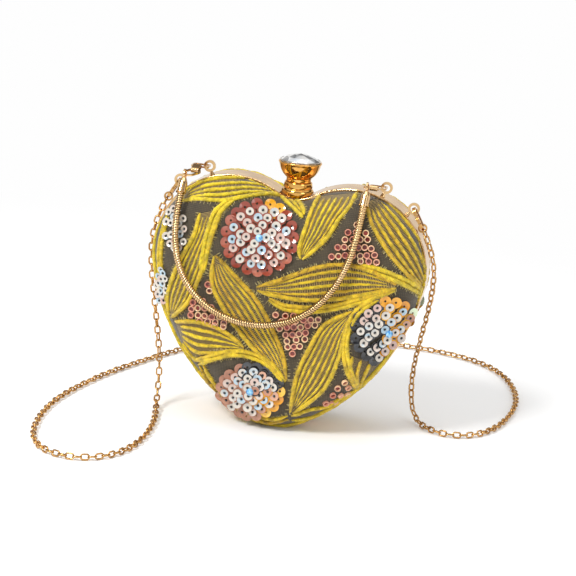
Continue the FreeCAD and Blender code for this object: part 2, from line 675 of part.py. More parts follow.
def make_eyelet(name, side, angle):
    """Ring on a short foot; its hole runs front to back."""
    ring = solid("Cylinder", name + "_ring", ("0", "eyelet_wall*0.5", "eyelet_height"), (Vector(1, 0, 0), 90),
                 Radius="eyelet_radius", Height="eyelet_wall")
    foot = solid("Cone", name + "_foot", Radius1="post_radius", Radius2="eyelet_wall*0.4",
                 Height="eyelet_height - eyelet_hole - eyelet_wall*0.4")
    hole = solid("Cylinder", name + "_hole", ("0", "eyelet_wall", "eyelet_height"), (Vector(1, 0, 0), 90),
                 Radius="eyelet_hole", Height="2*eyelet_wall")
    eyelet = cut(name, fuse(name + "_whole", [ring, foot]), hole)
    eyelet.Label = name
    eyelet.Placement = lobe_place(side, angle)


def oval(name, length, width, wire, place):
    """A flat-sided oval loop of wire in its own XY plane."""
    body = new_body(name)
    outline = sketch_on(body, name + "_oval", "XY_Plane")
    slot(outline, length, width)
    slot(outline, length + " - 2*" + wire, width + " - 2*" + wire)
    pad(body, outline, wire, middle=True)
    body.Placement = place
    return body


def bail(name, place):
    """A wire loop with straight ends and rounded corners, in its own XY plane."""
    body = new_body(name)
    outline = sketch_on(body, name + "_outline", "XY_Plane")
    far, side = "clip_reach*0.5", "clip_width*0.5"
    for less in ("", " - clip_wire"):
        back = less.replace("-", "+")
        polygon(outline, [("0 - " + far + back, "0 - " + side + back), (far + less, "0 - " + side + back),
                          (far + less, side + less), ("0 - " + far + back, side + less)])
    pulled = pad(body, outline, "clip_wire", middle=True)
    inner = amount("clip_width") / 2 - amount("clip_wire") / 2

    def upright(edge):
        return edge.BoundBox.ZLength > amount("clip_wire") / 2

    outside = rounded(body, pulled, "clip_corner",
                      lambda edge: upright(edge) and abs(edge.BoundBox.YMin) > inner)
    rounded(body, outside, "clip_corner - clip_wire",
            lambda edge: upright(edge) and abs(edge.BoundBox.YMin) < inner
            and abs(edge.BoundBox.XMin) < amount("clip_reach") / 2 - amount("clip_corner") / 2)
    body.Placement = place


def aim(origin, along, across):
    """Placement whose local X runs along one direction and whose local Y lies near another."""
    first = Vector(along).normalize()
    third = first.cross(across).normalize()
    second = third.cross(first)
    turn = Rotation(first, second, third, "XZY")
    return Placement(origin, turn)


def make_clip(tag, side, eye):
    """Wire loop through the eyelet, folded tab on the loop, and the oval ring through the cap's eye."""
    hook = ring_centre(side, "handle_angle")
    across = Vector(1, 0, 0)
    forward = Vector(0, -1, 0)
    wire = amount("clip_wire") / 2
    aside = Vector(wire - amount("clip_width") / 2, amount("clip_overhang"), 0)
    behind = hook.add(aside)
    reach = amount("clip_reach") / 2 - wire
    bail("clip_wire_" + tag, aim(behind.add(forward * reach), forward, across))
    seat = behind.add(forward * (2 * reach)).sub(across * amount("tab_shift"))
    gap = eye.sub(seat)
    step = Vector(0, gap.y, gap.z).normalize()
    body = new_body("clip_tab_" + tag)
    fold = sketch_on(body, "clip_tab_%s_fold" % tag, "XZ_Plane")
    slot(fold, "tab_length", "tab_height")
    slot(fold, "tab_length - 2*tab_sheet", "tab_height - 2*tab_sheet")
    pad(body, fold, "tab_width", middle=True)
    span = amount("tab_length - tab_height")
    body.Placement = aim(seat.add(step * (span / 2)), step, across)
    bend = amount("ring_width - ring_wire") / 2
    near = seat.add(step * (span - amount("ring_slack") + bend))
    along = eye.sub(near).normalize()
    place = aim(near.add(along * (amount("ring_length - ring_width") / 2)), along, across)
    oval("oval_ring_" + tag, "ring_length", "ring_width", "ring_wire", place)
    slack = eye.sub(near).Length - amount("ring_length - ring_width") - bend
    print("clip", tag, "pivot", seat, "eye", eye, "ring end to eye %.2f" % slack)


def sweep_round(points, radius):
    """A round bar along straight runs joined by the largest tangent arcs that the runs allow."""
    edges, radii, runs = bent_path(points)
    return sweep_edges(edges, radius), radii


def bent_path(points):
    """Straight runs with tangent arcs, the arcs' radii, and the run that each edge belongs to."""
    spots = [Vector(*point) for point in points]
    edges, radii, runs = [], [], []
    here = spots[0]
    for count in range(1, len(spots) - 1):
        before, corner, after = spots[count - 1:count + 2]
        into = corner.sub(before).normalize()
        out = after.sub(corner).normalize()
        turn = into.getAngle(out)
        reach = RUN_SHARE * min(corner.sub(before).Length, after.sub(corner).Length)
        radii.append(reach / math.tan(turn / 2))
        first, last = corner.sub(into * reach), corner.add(out * reach)
        bulge = out.sub(into).normalize()
        middle = corner.add(bulge * (radii[-1] / math.cos(turn / 2) - radii[-1]))
        edges += [Part.LineSegment(here, first).toShape(), Part.Arc(first, middle, last).toShape()]
        runs += [count - 1, None]
        here = last
    edges.append(Part.LineSegment(here, spots[-1]).toShape())
    runs.append(len(spots) - 2)
    return edges, radii, runs


def sweep_edges(edges, radius):
    """A round bar along joined edges, its volume compared with section times length."""
    wire = Part.Wire(edges)
    start = edges[0].Vertexes[0].Point
    ring = Part.Wire(Part.makeCircle(radius, start, edges[0].tangentAt(edges[0].FirstParameter)))
    bar = wire.makePipeShell([ring], True, False)
    expected = math.pi * radius ** 2 * wire.Length
    print("bar length %.1f, volume share %.4f" % (wire.Length, bar.Volume / expected))
    return bar


def handle_route():
    """Points that the snake chain follows, from the heart's own sizes."""
    wide = amount("lobe_x + lobe_radius")
    deep = amount("band_depth + dome_depth")
    tall = amount("lobe_z + lobe_radius")
    return [(x_share * wide, y_share * deep, z_share * tall) for x_share, y_share, z_share in HANDLE_SHARES]


def make_handle():
    """Snake chain with end caps, oval rings and clips; the caps' eyes lie on one axis."""
    route = handle_route()
    bar, radii = sweep_round(route, amount("cord_radius"))
    print("handle radii", " ".join("%.0f" % radius for radius in radii))
    chain = doc.addObject("Part::Feature", "snake_chain")
    chain.Label = "snake_chain"
    chain.Shape = bar
    ends = {"left": (Vector(*route[0]), Vector(*route[1])), "right": (Vector(*route[-1]), Vector(*route[-2]))}
    ups = {tag: end.sub(inner).normalize() for tag, (end, inner) in ends.items()}
    lift_up = amount("cap_length + cap_loop - cap_bead")
    eyes = {tag: ends[tag][0].add(ups[tag] * lift_up) for tag in ends}
    axis = eyes["left"].sub(eyes["right"])
    for tag, side in (("left", LEFT), ("right", RIGHT)):
        body = new_body("end_cap_" + tag)
        profile = sketch_on(body, "end_cap_%s_profile" % tag, "XZ_Plane")
        bead = "cap_radius + cap_bead"
        polygon(profile, [("0", "0"), (bead, "0"), (bead, "2*cap_bead"), ("cap_radius", "2*cap_bead"),
                          ("cap_radius", "cap_length - cap_radius"), ("cap_neck", "cap_length"),
                          ("0", "cap_length")])
        turned(body, profile)
        body.Placement = Placement(ends[tag][0], Rotation(Vector(0, 0, 1), ups[tag]))
        loop = solid("Cylinder", "cap_loop_%s_ring" % tag, ("0", "0", "0 - cap_loop_wall*0.5"),
                     Radius="cap_loop", Height="cap_loop_wall")
        hole = solid("Cylinder", "cap_loop_%s_hole" % tag, ("0", "0", "0 - cap_loop_wall"),
                     Radius="cap_loop_hole", Height="2*cap_loop_wall")
        ring = cut("cap_loop_" + tag, loop, hole)
        ring.Placement = Placement(eyes[tag], Rotation(Vector(0, 0, 1), axis))
        cap = fuse("handle_cap_" + tag, [body, ring])
        cap.Label = "handle_cap_" + tag
        body.Label = "cap_turning_" + tag
        make_clip(tag, side, eyes[tag])


def make_clasp(tag, side):
    """Lobster clasp in the chain's eyelet: bow, sprung lever and the jump ring below."""
    hook = ring_centre(side, "chain_angle")
    lean = math.radians(amount("clasp_lean"))
    down = Vector(side * math.sin(lean), 0, -math.cos(lean))
    across = Vector(0, 1, 0)
    reach = amount("clasp_length - clasp_wire")
    place = aim(hook.add(down * (reach / 2)), down, across)
    body = new_body("chain_clasp_" + tag)
    bow = sketch_on(body, "clasp_%s_bow" % tag, "XY_Plane")
    slot(bow, "clasp_length", "clasp_width")
    slot(bow, "clasp_length - 2*clasp_wire", "clasp_width - 2*clasp_wire")
    pad(body, bow, "clasp_thickness", middle=True)
    gate = sketch_on(body, "clasp_%s_gate" % tag, "XY_Plane")
    low, high = "0 - clasp_width", "0 - clasp_width*0.5 + clasp_wire"
    near, far = "gate_shift - gate_length*0.5", "gate_shift + gate_length*0.5"
    polygon(gate, [(near, low), (far, low), (far, high), (near, high)])
    pocket(body, gate, "2*clasp_thickness", middle=True)
    body.Placement = place

    name = "clasp_lever_" + tag
    middle = "0 - clasp_width*0.5 + clasp_wire*0.5"
    pivot = "gate_shift + gate_length*0.5 - gate_clearance - clasp_wire*0.5"
    under = "0 - clasp_thickness*0.5"
    barrel = solid("Cylinder", name + "_barrel", (pivot, middle, under),
                   Radius="clasp_wire*0.5", Height="clasp_thickness")
    tip = "gate_shift - gate_length*0.5 + gate_clearance"
    arm = solid("Box", name + "_arm", (tip, "0 - clasp_width*0.5", under), Width="clasp_wire",
                Length="gate_length - 2*gate_clearance - clasp_wire*0.5", Height="clasp_thickness")
    thumb = solid("Cylinder", name + "_thumb", ("0", "0 - clasp_width*0.5 - lever_tab*0.3", under),
                  Radius="lever_tab*0.5", Height="clasp_thickness")
    lever = fuse(name, [barrel, arm, thumb])
    lever.Label = name
    lever.Placement = place
    turn = place.multVec(Vector(amount(pivot), amount(middle), 0))
    print("lever", tag, "pivot", turn, "axis", place.Rotation.multVec(Vector(0, 0, 1)))

    name = "chain_ring_" + tag
    loop = solid("Cylinder", name + "_disc", ("0", "0", "0 - link_wire*0.5"),
                 Radius="link_radius", Height="link_wire")
    hole = solid("Cylinder", name + "_hole", ("0", "0", "0 - link_wire"), Radius="link_radius - link_wire",
                 Height="2*link_wire")
    ring = cut(name, loop, hole)
    ring.Label = name
    slack = amount("link_radius - link_wire - clasp_wire")
    centre = hook.add(down * (reach + slack))
    ring.Placement = Placement(centre, Rotation(Vector(1, 0, 0), 90))
    print("chain starts", tag, centre.add(down * amount("link_radius")))


def make_chain():
    """Shoulder chain as round bars of the links' width, in three stretches that meet face to face."""
    edges, radii, runs = bent_path(CHAIN_ROUTE)
    print("chain radii", " ".join("%.0f" % radius for radius in radii))
    stretches = [[]]
    for edge, run in zip(edges, runs):
        if run not in CHAIN_BREAKS:
            stretches[-1].append(edge)
            continue
        first, last = (vertex.Point for vertex in edge.Vertexes)
        middle = first.add(last) / 2
        stretches[-1].append(Part.LineSegment(first, middle).toShape())
        stretches.append([Part.LineSegment(middle, last).toShape()])
    for name, stretch in zip(("chain_left", "chain_back", "chain_right"), stretches):
        bar = doc.addObject("Part::Feature", name)
        bar.Label = name
        bar.Shape = sweep_edges(stretch, amount("chain_radius"))
    print("chain length %.1f" % sum(edge.Length for edge in edges))


def finished():
    """Every object of the document whose label is a node's name, after a check of its state and shape."""
    doc.recompute()
    for thing in doc.Objects:
        if "Invalid" in thing.State or "Error" in thing.State:
            raise RuntimeError("%s is %s" % (thing.Name, thing.State))
    for name in NODES:
        thing = next(part for part in doc.Objects if part.Label == name)
        if thing.Shape.isNull() or not thing.Shape.isValid():
            raise RuntimeError(name + " has no valid shape")
        yield name, thing.Shape


NODES = ["front_frame", "front_shell", "front_cover", "back_frame", "back_shell", "back_cover",
         "hinge_pin", "front_hinge_leaf", "back_hinge_leaf", "clasp_collar", "clasp_bridge", "catch_hook",
         "knob_cup", "knob_crystal", "knob_stem", "latch_bar", "knob_spring",
         "handle_eyelet_left", "handle_eyelet_right", "chain_eyelet_left", "chain_eyelet_right",
         "snake_chain", "handle_cap_left", "handle_cap_right", "clip_wire_left", "clip_wire_right",
         "clip_tab_left", "clip_tab_right", "oval_ring_left", "oval_ring_right",
         "chain_clasp_left", "chain_clasp_right", "clasp_lever_left", "clasp_lever_right",
         "chain_ring_left", "chain_ring_right", "chain_left", "chain_back", "chain_right"]

mirrored_back("back_frame", make_frame())
make_domes()
make_hinge()
make_collar()
make_bridge()
make_hook()
make_knob()
for tag, side in (("left", LEFT), ("right", RIGHT)):
    make_eyelet("handle_eyelet_" + tag, side, "handle_angle")
    make_eyelet("chain_eyelet_" + tag, side, "chain_angle")
    make_clasp(tag, side)
make_handle()
make_chain()

os.makedirs("parts", exist_ok=True)
for name, shape in finished():
    shape.exportStep("parts/%s.step" % name)
    print("%-20s volume %9.1f faces %d" % (name, shape.Volume, len(shape.Faces)))
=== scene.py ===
import math
import random

import bmesh
import bpy
from bpy.props import FloatProperty, FloatVectorProperty, PointerProperty
from mathutils import Matrix, Vector
from mathutils.bvhtree import BVHTree
from mathutils.geometry import interpolate_bezier


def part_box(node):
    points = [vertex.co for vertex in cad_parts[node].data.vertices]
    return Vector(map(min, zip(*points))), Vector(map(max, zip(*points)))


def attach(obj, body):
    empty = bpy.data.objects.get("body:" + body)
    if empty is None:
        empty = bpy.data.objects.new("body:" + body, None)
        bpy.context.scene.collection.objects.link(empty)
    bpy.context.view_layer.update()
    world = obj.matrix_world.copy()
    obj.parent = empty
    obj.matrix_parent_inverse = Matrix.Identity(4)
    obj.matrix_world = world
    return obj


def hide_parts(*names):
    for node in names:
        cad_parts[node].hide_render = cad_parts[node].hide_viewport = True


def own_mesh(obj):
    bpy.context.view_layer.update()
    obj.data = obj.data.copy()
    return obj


bl_info = {
    "name": "Heart purse",
    "version": (1, 0, 0),
    "blender": (4, 5, 0),
    "location": "View3D > Sidebar > Purse",
    "description": "Dresses the heart-shaped embroidered purse: cloth, cord work, sequins, chains and stage",
    "category": "Object",
}

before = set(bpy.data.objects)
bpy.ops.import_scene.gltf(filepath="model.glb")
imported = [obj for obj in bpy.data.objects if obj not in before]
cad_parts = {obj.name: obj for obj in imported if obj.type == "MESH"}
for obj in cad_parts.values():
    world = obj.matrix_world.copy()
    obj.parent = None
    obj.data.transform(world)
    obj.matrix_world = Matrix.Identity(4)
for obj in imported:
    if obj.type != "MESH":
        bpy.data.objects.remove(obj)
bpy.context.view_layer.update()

MM = 0.001
# Points nearer than the first are merged, and a profile that closes on its axis starts at the second, in mm.
MERGE_GAP, NEAR_AXIS = 0.001 * MM, 0.001
# Bands in a metre of Blender's wave texture at scale 1.
WAVE_BANDS = 3.2
# Sides that name the paired parts.
ENDS = ("left", "right")
rng = random.Random(7)

# The photograph's camera: turned to the right, looking down a little, rolled a little; lengths in metres.
AZIMUTH, ELEVATION, ROLL = math.radians(9.4), math.radians(13.45), math.radians(5.36)
TARGET = Vector((-0.35, 0.0, 76.4)) * MM
DISTANCE, NEAREST = 1.2, 0.05
FOCAL_PIXELS, IMAGE_SIDE, SENSOR = 2141.0, 576, 36.0

# The heart's outline: centres and radii of its arcs, how it is built up in depth, and its layers, in mm.
LOBE, LOBE_RADIUS = Vector((33.0, 0, 94.5)), 44.0
TIP, TIP_RADIUS = Vector((0, 0, 35.8)), 37.0
FLANK_RADIUS, CLEFT_RADIUS = 117.0, 19.0
RIM_INSET, RIM_DEPTH, WALL, EDGE_RADIUS = 1.5, 8.5, 1.0, 22.0
LINING_DEPTH, CLOTH_THICKNESS = 3.1, 0.5

# Stage, in metres and watts: the floor's radius, where its shading fades, and lamps by place, width and power.
FLOOR_RADIUS, FADE_START, FADE_END = 8.0, 0.2, 0.6
LAMPS = [
    ("key_lamp", (-0.55, -0.85, 1.0), 0.35, 14.0), ("fill_lamp", (0.8, -0.7, 0.55), 0.45, 1.5),
    ("top_lamp", (0.05, 0.1, 1.3), 0.7, 3.0),
]
# What polished metal mirrors, from below to above: white, with a dark ring under a white ceiling.
ROOM_BANDS = [
    (0.0, "#ffffff"), (0.45, "#e8e2da"), (0.52, "#f7f3ee"), (0.66, "#fffdfa"), (0.7, "#5c5148"),
    (0.79, "#332c26"), (0.84, "#e6dfd6"), (0.95, "#ffffff"),
]

# Route of the shoulder chain, in mm, as the part's source has it.
CHAIN_ROUTE = [
    (-73.3, -4.3, 118.2), (-79.6, -4.3, 103.0), (-79.0, -4.3, 81.0), (-74.2, -4.3, 55.0),
    (-69.8, -4.4, 30.0), (-68.8, -5.4, 15.0), (-67.6, -12.2, 5.0), (-65.0, -23.5, 2.1),
    (-61.0, -43.0, 2.0), (-58.6, -70.0, 2.0), (-60.6, -97.0, 2.0), (-68.5, -115.5, 2.0),
    (-83.0, -125.0, 2.0), (-99.0, -121.5, 2.0), (-110.5, -108.0, 2.0), (-117.5, -86.0, 2.0),
    (-121.5, -58.0, 2.0), (-121.8, -30.0, 2.0), (-118.2, -2.0, 2.0), (-110.8, 33.0, 2.0),
    (-99.0, 68.0, 2.0), (-85.0, 105.0, 2.0), (-64.0, 139.5, 2.0), (-33.0, 168.0, 2.0),
    (6.0, 186.0, 2.0), (45.0, 192.5, 2.0), (74.0, 188.5, 2.0), (98.0, 177.0, 2.0),
    (114.5, 156.5, 2.0), (124.5, 128.0, 2.0), (129.5, 95.0, 2.0), (127.6, 62.0, 2.0),
    (121.8, 33.0, 2.0), (111.0, 13.5, 2.0), (97.0, 8.0, 2.0), (86.5, 13.2, 2.0),
    (78.6, 22.4, 2.2), (73.0, 31.4, 7.4), (71.0, 34.2, 19.0), (71.8, 28.6, 34.0), (74.6, 19.4, 51.0),
    (78.4, 8.4, 70.0), (80.8, -0.6, 88.0), (80.2, -4.2, 104.0), (73.3, -4.3, 118.2),
]

# Steps round a chain link, its overlap with the next in widths of its wire, and its roll and slack in degrees.
LINK_STEPS, LINK_OVERLAP, LINK_ROLL, LINK_SLACK = 12, 1.5, 12, 14

# Route of the snake chain, in mm, as the part's source has it.
HANDLE_ROUTE = [
    (-59.9, -27.5, 128.4), (-60.2, -34.0, 117.0), (-59.0, -36.5, 100.0), (-53.0, -37.5, 83.0),
    (-40.0, -37.8, 69.5), (-22.0, -38.0, 62.5), (-3.0, -38.0, 62.5), (14.5, -37.8, 69.5),
    (28.5, -37.6, 83.5), (37.0, -37.3, 101.0), (40.6, -35.2, 119.0), (41.2, -27.9, 133.4),
]
# Widths across one rib of it, from edge to groove, in mm, the ribs' slant, and their sides.
RIB_WIDTHS, RIB_SLANT, RIB_SIDES = (3.9, 4.0, 3.9, 2.8), math.radians(16), 14

# Knob: profiles of the goblet and the collar, as radius and height from the top, in mm.
GOBLET_PROFILE = [
    (0.01, -14.6), (6.9, -14.6), (6.9, -9.7), (6.95, -9.3), (7.3, -8.8), (8.2, -8.0), (9.3, -6.8),
    (10.3, -5.2), (11.0, -3.6), (11.5, -2.0), (11.75, -1.1), (12.1, -0.7), (12.1, -0.3), (11.9, 0.0),
    (11.3, 0.0), (11.1, -0.2), (11.1, -2.0), (0.01, -2.0),
]
COLLAR_PROFILE = [
    (7.0, -8.2), (8.8, -8.2), (9.0, -7.8), (9.0, -5.9), (8.9, -4.9), (8.6, -4.2), (8.1, -3.7), (7.75, -3.5),
    (7.7, -3.3), (7.95, -3.1), (8.05, -2.7), (7.95, -1.8), (7.75, -0.8), (7.7, -0.25), (7.5, 0.0),
    (7.15, 0.0), (7.0, -0.15),
]
# How far the collar sinks into the frames, in mm, the spring's wire radius and turns, and the knob's travel.
COLLAR_SUNK, SPRING_WIRE, SPRING_TURNS, KNOB_TRAVEL = 0.3, 0.35 * MM, 5, 2.0 * MM
# Crystal: facets round it, the share of its height where the rim lies, and the radius of the rim's wire.
CRYSTAL_SIDES, GIRDLE_SHARE, RIM_WIRE = 12, 0.42, 0.4 * MM
# Its rings from the foot to the point: share of the radius, share of the height, and half steps of turn.
CRYSTAL_RINGS = ((1.0, 0.0, 0), (1.0, GIRDLE_SHARE, 0), (0.72, 0.72, 1), (0.34, 0.92, 0), (0.02, 1.0, 1))

# The embroidery's cartoon is drawn at four times the photograph's size from this corner of it.
CARTOON_CORNER, CARTOON_SCALE = (60, 110), 4

# Cords: least height over the floor, step along one, shortest length and least width.
FLOOR_GAP, CORD_STEP, CORD_SHORTEST, CORD_THINNEST = 0.1 * MM, 0.8 * MM, 3 * MM, 0.8 * MM
# Their sides, how fast an end widens, the share and lengths of their swells, and their sway to each side.
CORD_SIDES, CORD_TAPER, CORD_SWELL_SHARE = 8, 8, 0.1
CORD_SWELL, CORD_WAVER, CORD_SWAY = 2.2 * MM, 5.1 * MM, 0.14 * MM
# Shares of a cord's width: at its ends, its squeeze, its rise, and its rise within reach of a handle cap.
CORD_END_SHARE, CORD_SQUEEZE_SHARE, CORD_RISE_SHARE, CORD_SUNK_SHARE = 0.4, 0.95, 0.24, -0.1
CAP_REACH = 13 * MM

# Fibres at a leaf's edge: spacing, share left out, where the root and the tip lie, their lifts, the shortest,
# radii at the root and the tip, and the fibre's place among the cords' materials.
FIBRE_STEP, FIBRE_LOST_SHARE, FIBRE_ROOT, FIBRE_REACH = 0.95 * MM, 0.2, 0.7 * MM, (1.9 * MM, 3.1 * MM)
FIBRE_LIFT, FIBRE_TIP_LIFT, FIBRE_SHORTEST = 0.25 * MM, 0.3 * MM, 0.5 * MM
FIBRE_THICK, FIBRE_THIN, FIBRE_SLOT = 0.2 * MM, 0.09 * MM, 1

# Leaf: steps along an edge, steps left off an inner cord's ends, run of the filling's stitches, its lift, and
# its rows across.
LEAF_ROWS, LEAF_ENDS, LEAF_RUN, FILLING_LIFT, FILLING_ROWS = 40, 2, 90 * MM, 0.3 * MM, 6
# Tone of the second edge's cord and the inner ones, as shares of the first's, and what is added to these.
SECOND_TONE_SHARE, INNER_TONE_SHARE, INNER_TONE_ADDED = 0.8, 0.7, 0.03

# Cords on the side wall: their tops at the left and right, the middle they run round, and their depths.
BORDER_TOPS, BORDER_MIDDLE = (112 * MM, 58 * MM), 70 * MM
BORDER_DEPTHS = (10.4 * MM, 13.2 * MM, 16.0 * MM)

# Leaves: the two edges from base to tip, the number of inner cords, and the yellow's tone.
LEAVES = [
    ([(905, 352), (830, 288), (740, 258), (630, 256), (540, 290), (478, 358)],
     [(905, 356), (850, 338), (760, 344), (650, 362), (550, 356), (478, 364)], 4, 0.15),
    ([(893, 338), (935, 352), (968, 386), (978, 420)],
     [(880, 346), (915, 378), (945, 404), (972, 432)], 1, 0.2),
    ([(1040, 345), (1008, 405), (980, 480), (958, 550), (962, 596)],
     [(1188, 332), (1158, 384), (1118, 436), (1060, 520), (970, 598)], 5, 0.3),
    ([(1226, 366), (1246, 452), (1304, 556), (1380, 650), (1474, 742)],
     [(1290, 348), (1370, 402), (1444, 490), (1486, 596), (1478, 742)], 5, 0.45),
    ([(1344, 700), (1240, 642), (1130, 618), (1010, 634), (880, 680), (786, 708)],
     [(1344, 712), (1210, 740), (1100, 756), (980, 760), (870, 744), (788, 722)], 4, 0.5),
    ([(1340, 716), (1210, 752), (1110, 778), (1010, 790), (900, 780), (838, 752)],
     [(1340, 722), (1220, 764), (1120, 792), (1010, 806), (900, 796), (834, 760)], 1, 0.4),
    ([(1474, 742), (1400, 690), (1320, 652), (1250, 628), (1200, 618)],
     [(1466, 752), (1390, 706), (1316, 672), (1250, 646), (1196, 634)], 1, 0.2),
    ([(906, 1082), (892, 980), (846, 870), (790, 764), (716, 680), (622, 580)],
     [(898, 1084), (810, 990), (720, 890), (648, 780), (608, 690), (616, 584)], 5, 0.5),
    ([(650, 394), (616, 480), (588, 570), (560, 660), (510, 770), (446, 830)],
     [(560, 412), (536, 500), (492, 580), (460, 650), (434, 740), (440, 826)], 4, 0.35),
    ([(700, 358), (640, 410), (604, 500), (584, 600), (574, 650)],
     [(688, 352), (622, 404), (588, 492), (568, 590), (560, 640)], 0, 0.15),
    ([(436, 430), (414, 520), (408, 610), (424, 720), (440, 812)],
     [(430, 420), (404, 520), (398, 610), (410, 720), (434, 812)], 0, 0.3),
    ([(462, 846), (540, 846), (620, 868), (690, 908), (736, 950)],
     [(492, 930), (540, 992), (600, 996), (664, 980), (736, 956)], 4, 0.4),
    ([(540, 1002), (620, 976), (720, 964), (830, 1000), (904, 1086)],
     [(556, 1016), (630, 992), (720, 980), (820, 1014), (896, 1090)], 0, 0.35),
    ([(1168, 806), (1060, 858), (1000, 950), (948, 1060), (920, 1208)],
     [(1172, 812), (1140, 900), (1112, 1000), (1050, 1120), (930, 1212)], 5, 0.4),
    ([(1276, 744), (1190, 796), (1146, 870), (1134, 960), (1146, 1040), (1184, 1114)],
     [(1284, 754), (1204, 806), (1160, 878), (1148, 960), (1160, 1032), (1192, 1106)], 0, 0.35),
    ([(1170, 986), (1160, 1040), (1186, 1112)],
     [(1316, 1024), (1270, 1076), (1196, 1116)], 3, 0.45),
    ([(924, 1222), (1000, 1196), (1060, 1184), (1120, 1150), (1176, 1120)],
     [(926, 1240), (1000, 1226), (1070, 1202), (1130, 1166), (1182, 1128)], 0, 0.3),
    ([(560, 1022), (606, 1100), (670, 1176), (760, 1226), (840, 1246), (912, 1236)],
     [(572, 1014), (622, 1096), (690, 1172), (770, 1214), (846, 1234), (910, 1222)], 0, 0.5),
]

# Sequin flowers: middle, half width, half height and kind.
FLOWERS = [
    ((800, 510), 150, 148, "brick"),
    ((1306, 886), 138, 136, "amber"),
    ((764, 1122), 130, 104, "peach"),
    ((468, 476), 40, 90, "pearl"),
    ((414, 716), 16, 88, "pearl"),
]

# Rings of sequins in a round flower and in a narrow one: share of the half size, and number.
ROUND_RINGS = ((0.9, 19), (0.72, 15), (0.52, 11), (0.33, 7), (0.15, 3))
NARROW_RINGS = ((0.85, 11), (0.45, 6), (0.1, 1))

# Petals under a flower's white sequins: arcs by start and span in degrees, least share of the way out and
# film, and the film of the rest.
PETALS = {
    "brick": ([(52, 26, 0.7, "amber")], "brick"),
    "amber": ([(325, 75, 0.8, "green"), (100, 150, 0.0, "black")], "amber"),
    "peach": ([(5, 105, 0.0, "black"), (285, 80, 0.0, "amber")], "peach"),
}

# PET film of each kind: the colours that it shifts through, and how unevenly.
FILMS = {
    "pearl": ([(0.0, "#d8d0c4"), (0.38, "#c9c1b5"), (0.46, "#9fbfd2"), (0.53, "#cfc6ba"), (0.76, "#c9a397"),
               (1.0, "#659bbd")], 0.3),
    "brick": ([(0.0, "#7c2f22"), (0.6, "#9a4632"), (1.0, "#c98a72")], 0.35),
    "amber": ([(0.0, "#c9780e"), (0.5, "#e09e1c"), (1.0, "#f3cf5c")], 0.4),
    "black": ([(0.0, "#0d0d10"), (0.6, "#1a1c22"), (1.0, "#5a6068")], 0.3),
    "green": ([(0.0, "#cfe8b8"), (0.6, "#e3f3d0"), (1.0, "#fbfff2")], 0.4),
    "peach": ([(0.0, "#8a5238"), (0.5, "#b98266"), (1.0, "#d9ae94")], 0.4),
}

# Sequins: the least depth they are sewn at, lifts of the first ring, each ring, a white one and the stone;
# a petal's scale, how far it turns to the eye, its lift as it tilts, and what counts as the middle.
SEQUIN_DEPTH, FIRST_LIFT, RING_LIFT, PETAL_LIFT, STONE_LIFT = 16 * MM, 0.55 * MM, 0.3 * MM, 0.5 * MM, 2.2 * MM
PETAL_SHARE, EYE_SHARE, TILT_LIFT_SHARE, MIDDLE_REACH = 1.3, 0.4, 0.75, 0.2 * MM

# Profiles as radius and height: a sequin's in its radius, a seed bead's and a stone's in mm, and a tube
# bead's with the radius as a share of its own and the height in mm; then the floor of its hole, the hole's
# share of its radius, and its pitch in radii.
SEQUIN_PROFILE = [(0.2, 0.0), (0.6, 0.05), (1.0, 0.17)]
SEED_PROFILE = [(NEAR_AXIS, 0.7), (0.5, 0.56), (0.82, 0.12)]
STONE_PROFILE = [(NEAR_AXIS, 1.9), (1.1, 1.8), (2.2, 0.8), (1.9, 0.0)]
BEAD_PROFILE = [(0.95, 0.0), (1.0, 1.2), (0.86, 1.65), (0.7, 1.2), (0.64, 0.2)]
BEAD_FLOOR, BEAD_HOLE_SHARE, BEAD_PITCH_SHARE = 0.35 * MM, 0.7, 2.1

# Beads that stand in triangles: rows of (x, y) along which they are spaced.
BEAD_ROWS = [
    [(1190, 462), (1190, 462)], [(1152, 488), (1222, 492)], [(1140, 516), (1232, 520)],
    [(1112, 548), (1246, 552)], [(1088, 584), (1256, 580)], [(1204, 604), (1266, 606)],
    [(866, 820), (934, 824)], [(884, 846), (1032, 838)], [(880, 872), (1020, 862)], [(904, 898), (984, 892)],
    [(910, 922), (980, 916)], [(912, 946), (958, 944)], [(930, 972), (930, 972)],
    [(594, 696), (594, 696)], [(600, 722), (600, 722)], [(536, 768), (572, 762)], [(528, 794), (606, 790)],
    [(526, 820), (638, 826)], [(560, 842), (656, 850)], [(620, 860), (654, 864)],
    [(1136, 1088), (1136, 1088)], [(1112, 1112), (1150, 1108)], [(1092, 1140), (1146, 1134)],
    [(1064, 1170), (1118, 1164)],
]


# Settings that a user would change

class PurseColours(bpy.types.PropertyGroup):
    """Colours of the cloth, the cord work and the metal, as sRGB."""
    cloth: FloatVectorProperty(
        name="Cloth", description="Ground cloth between the motifs",
        subtype="COLOR_GAMMA", size=3, min=0, max=1, default=(0.25, 0.215, 0.15))
    lemon: FloatVectorProperty(
        name="Lemon cord", description="Palest yellow of the cords",
        subtype="COLOR_GAMMA", size=3, min=0, max=1, default=(0.97, 0.87, 0.13))
    gold: FloatVectorProperty(
        name="Golden cord", description="Deepest yellow of the cords",
        subtype="COLOR_GAMMA", size=3, min=0, max=1, default=(0.83, 0.65, 0.08))
    champagne: FloatVectorProperty(
        name="Champagne plate", description="Frames, handle and chain",
        subtype="COLOR_GAMMA", size=3, min=0, max=1, default=(0.89, 0.75, 0.55))
    amber: FloatVectorProperty(
        name="Amber plate", description="Push knob and its collar",
        subtype="COLOR_GAMMA", size=3, min=0, max=1, default=(0.92, 0.72, 0.40))


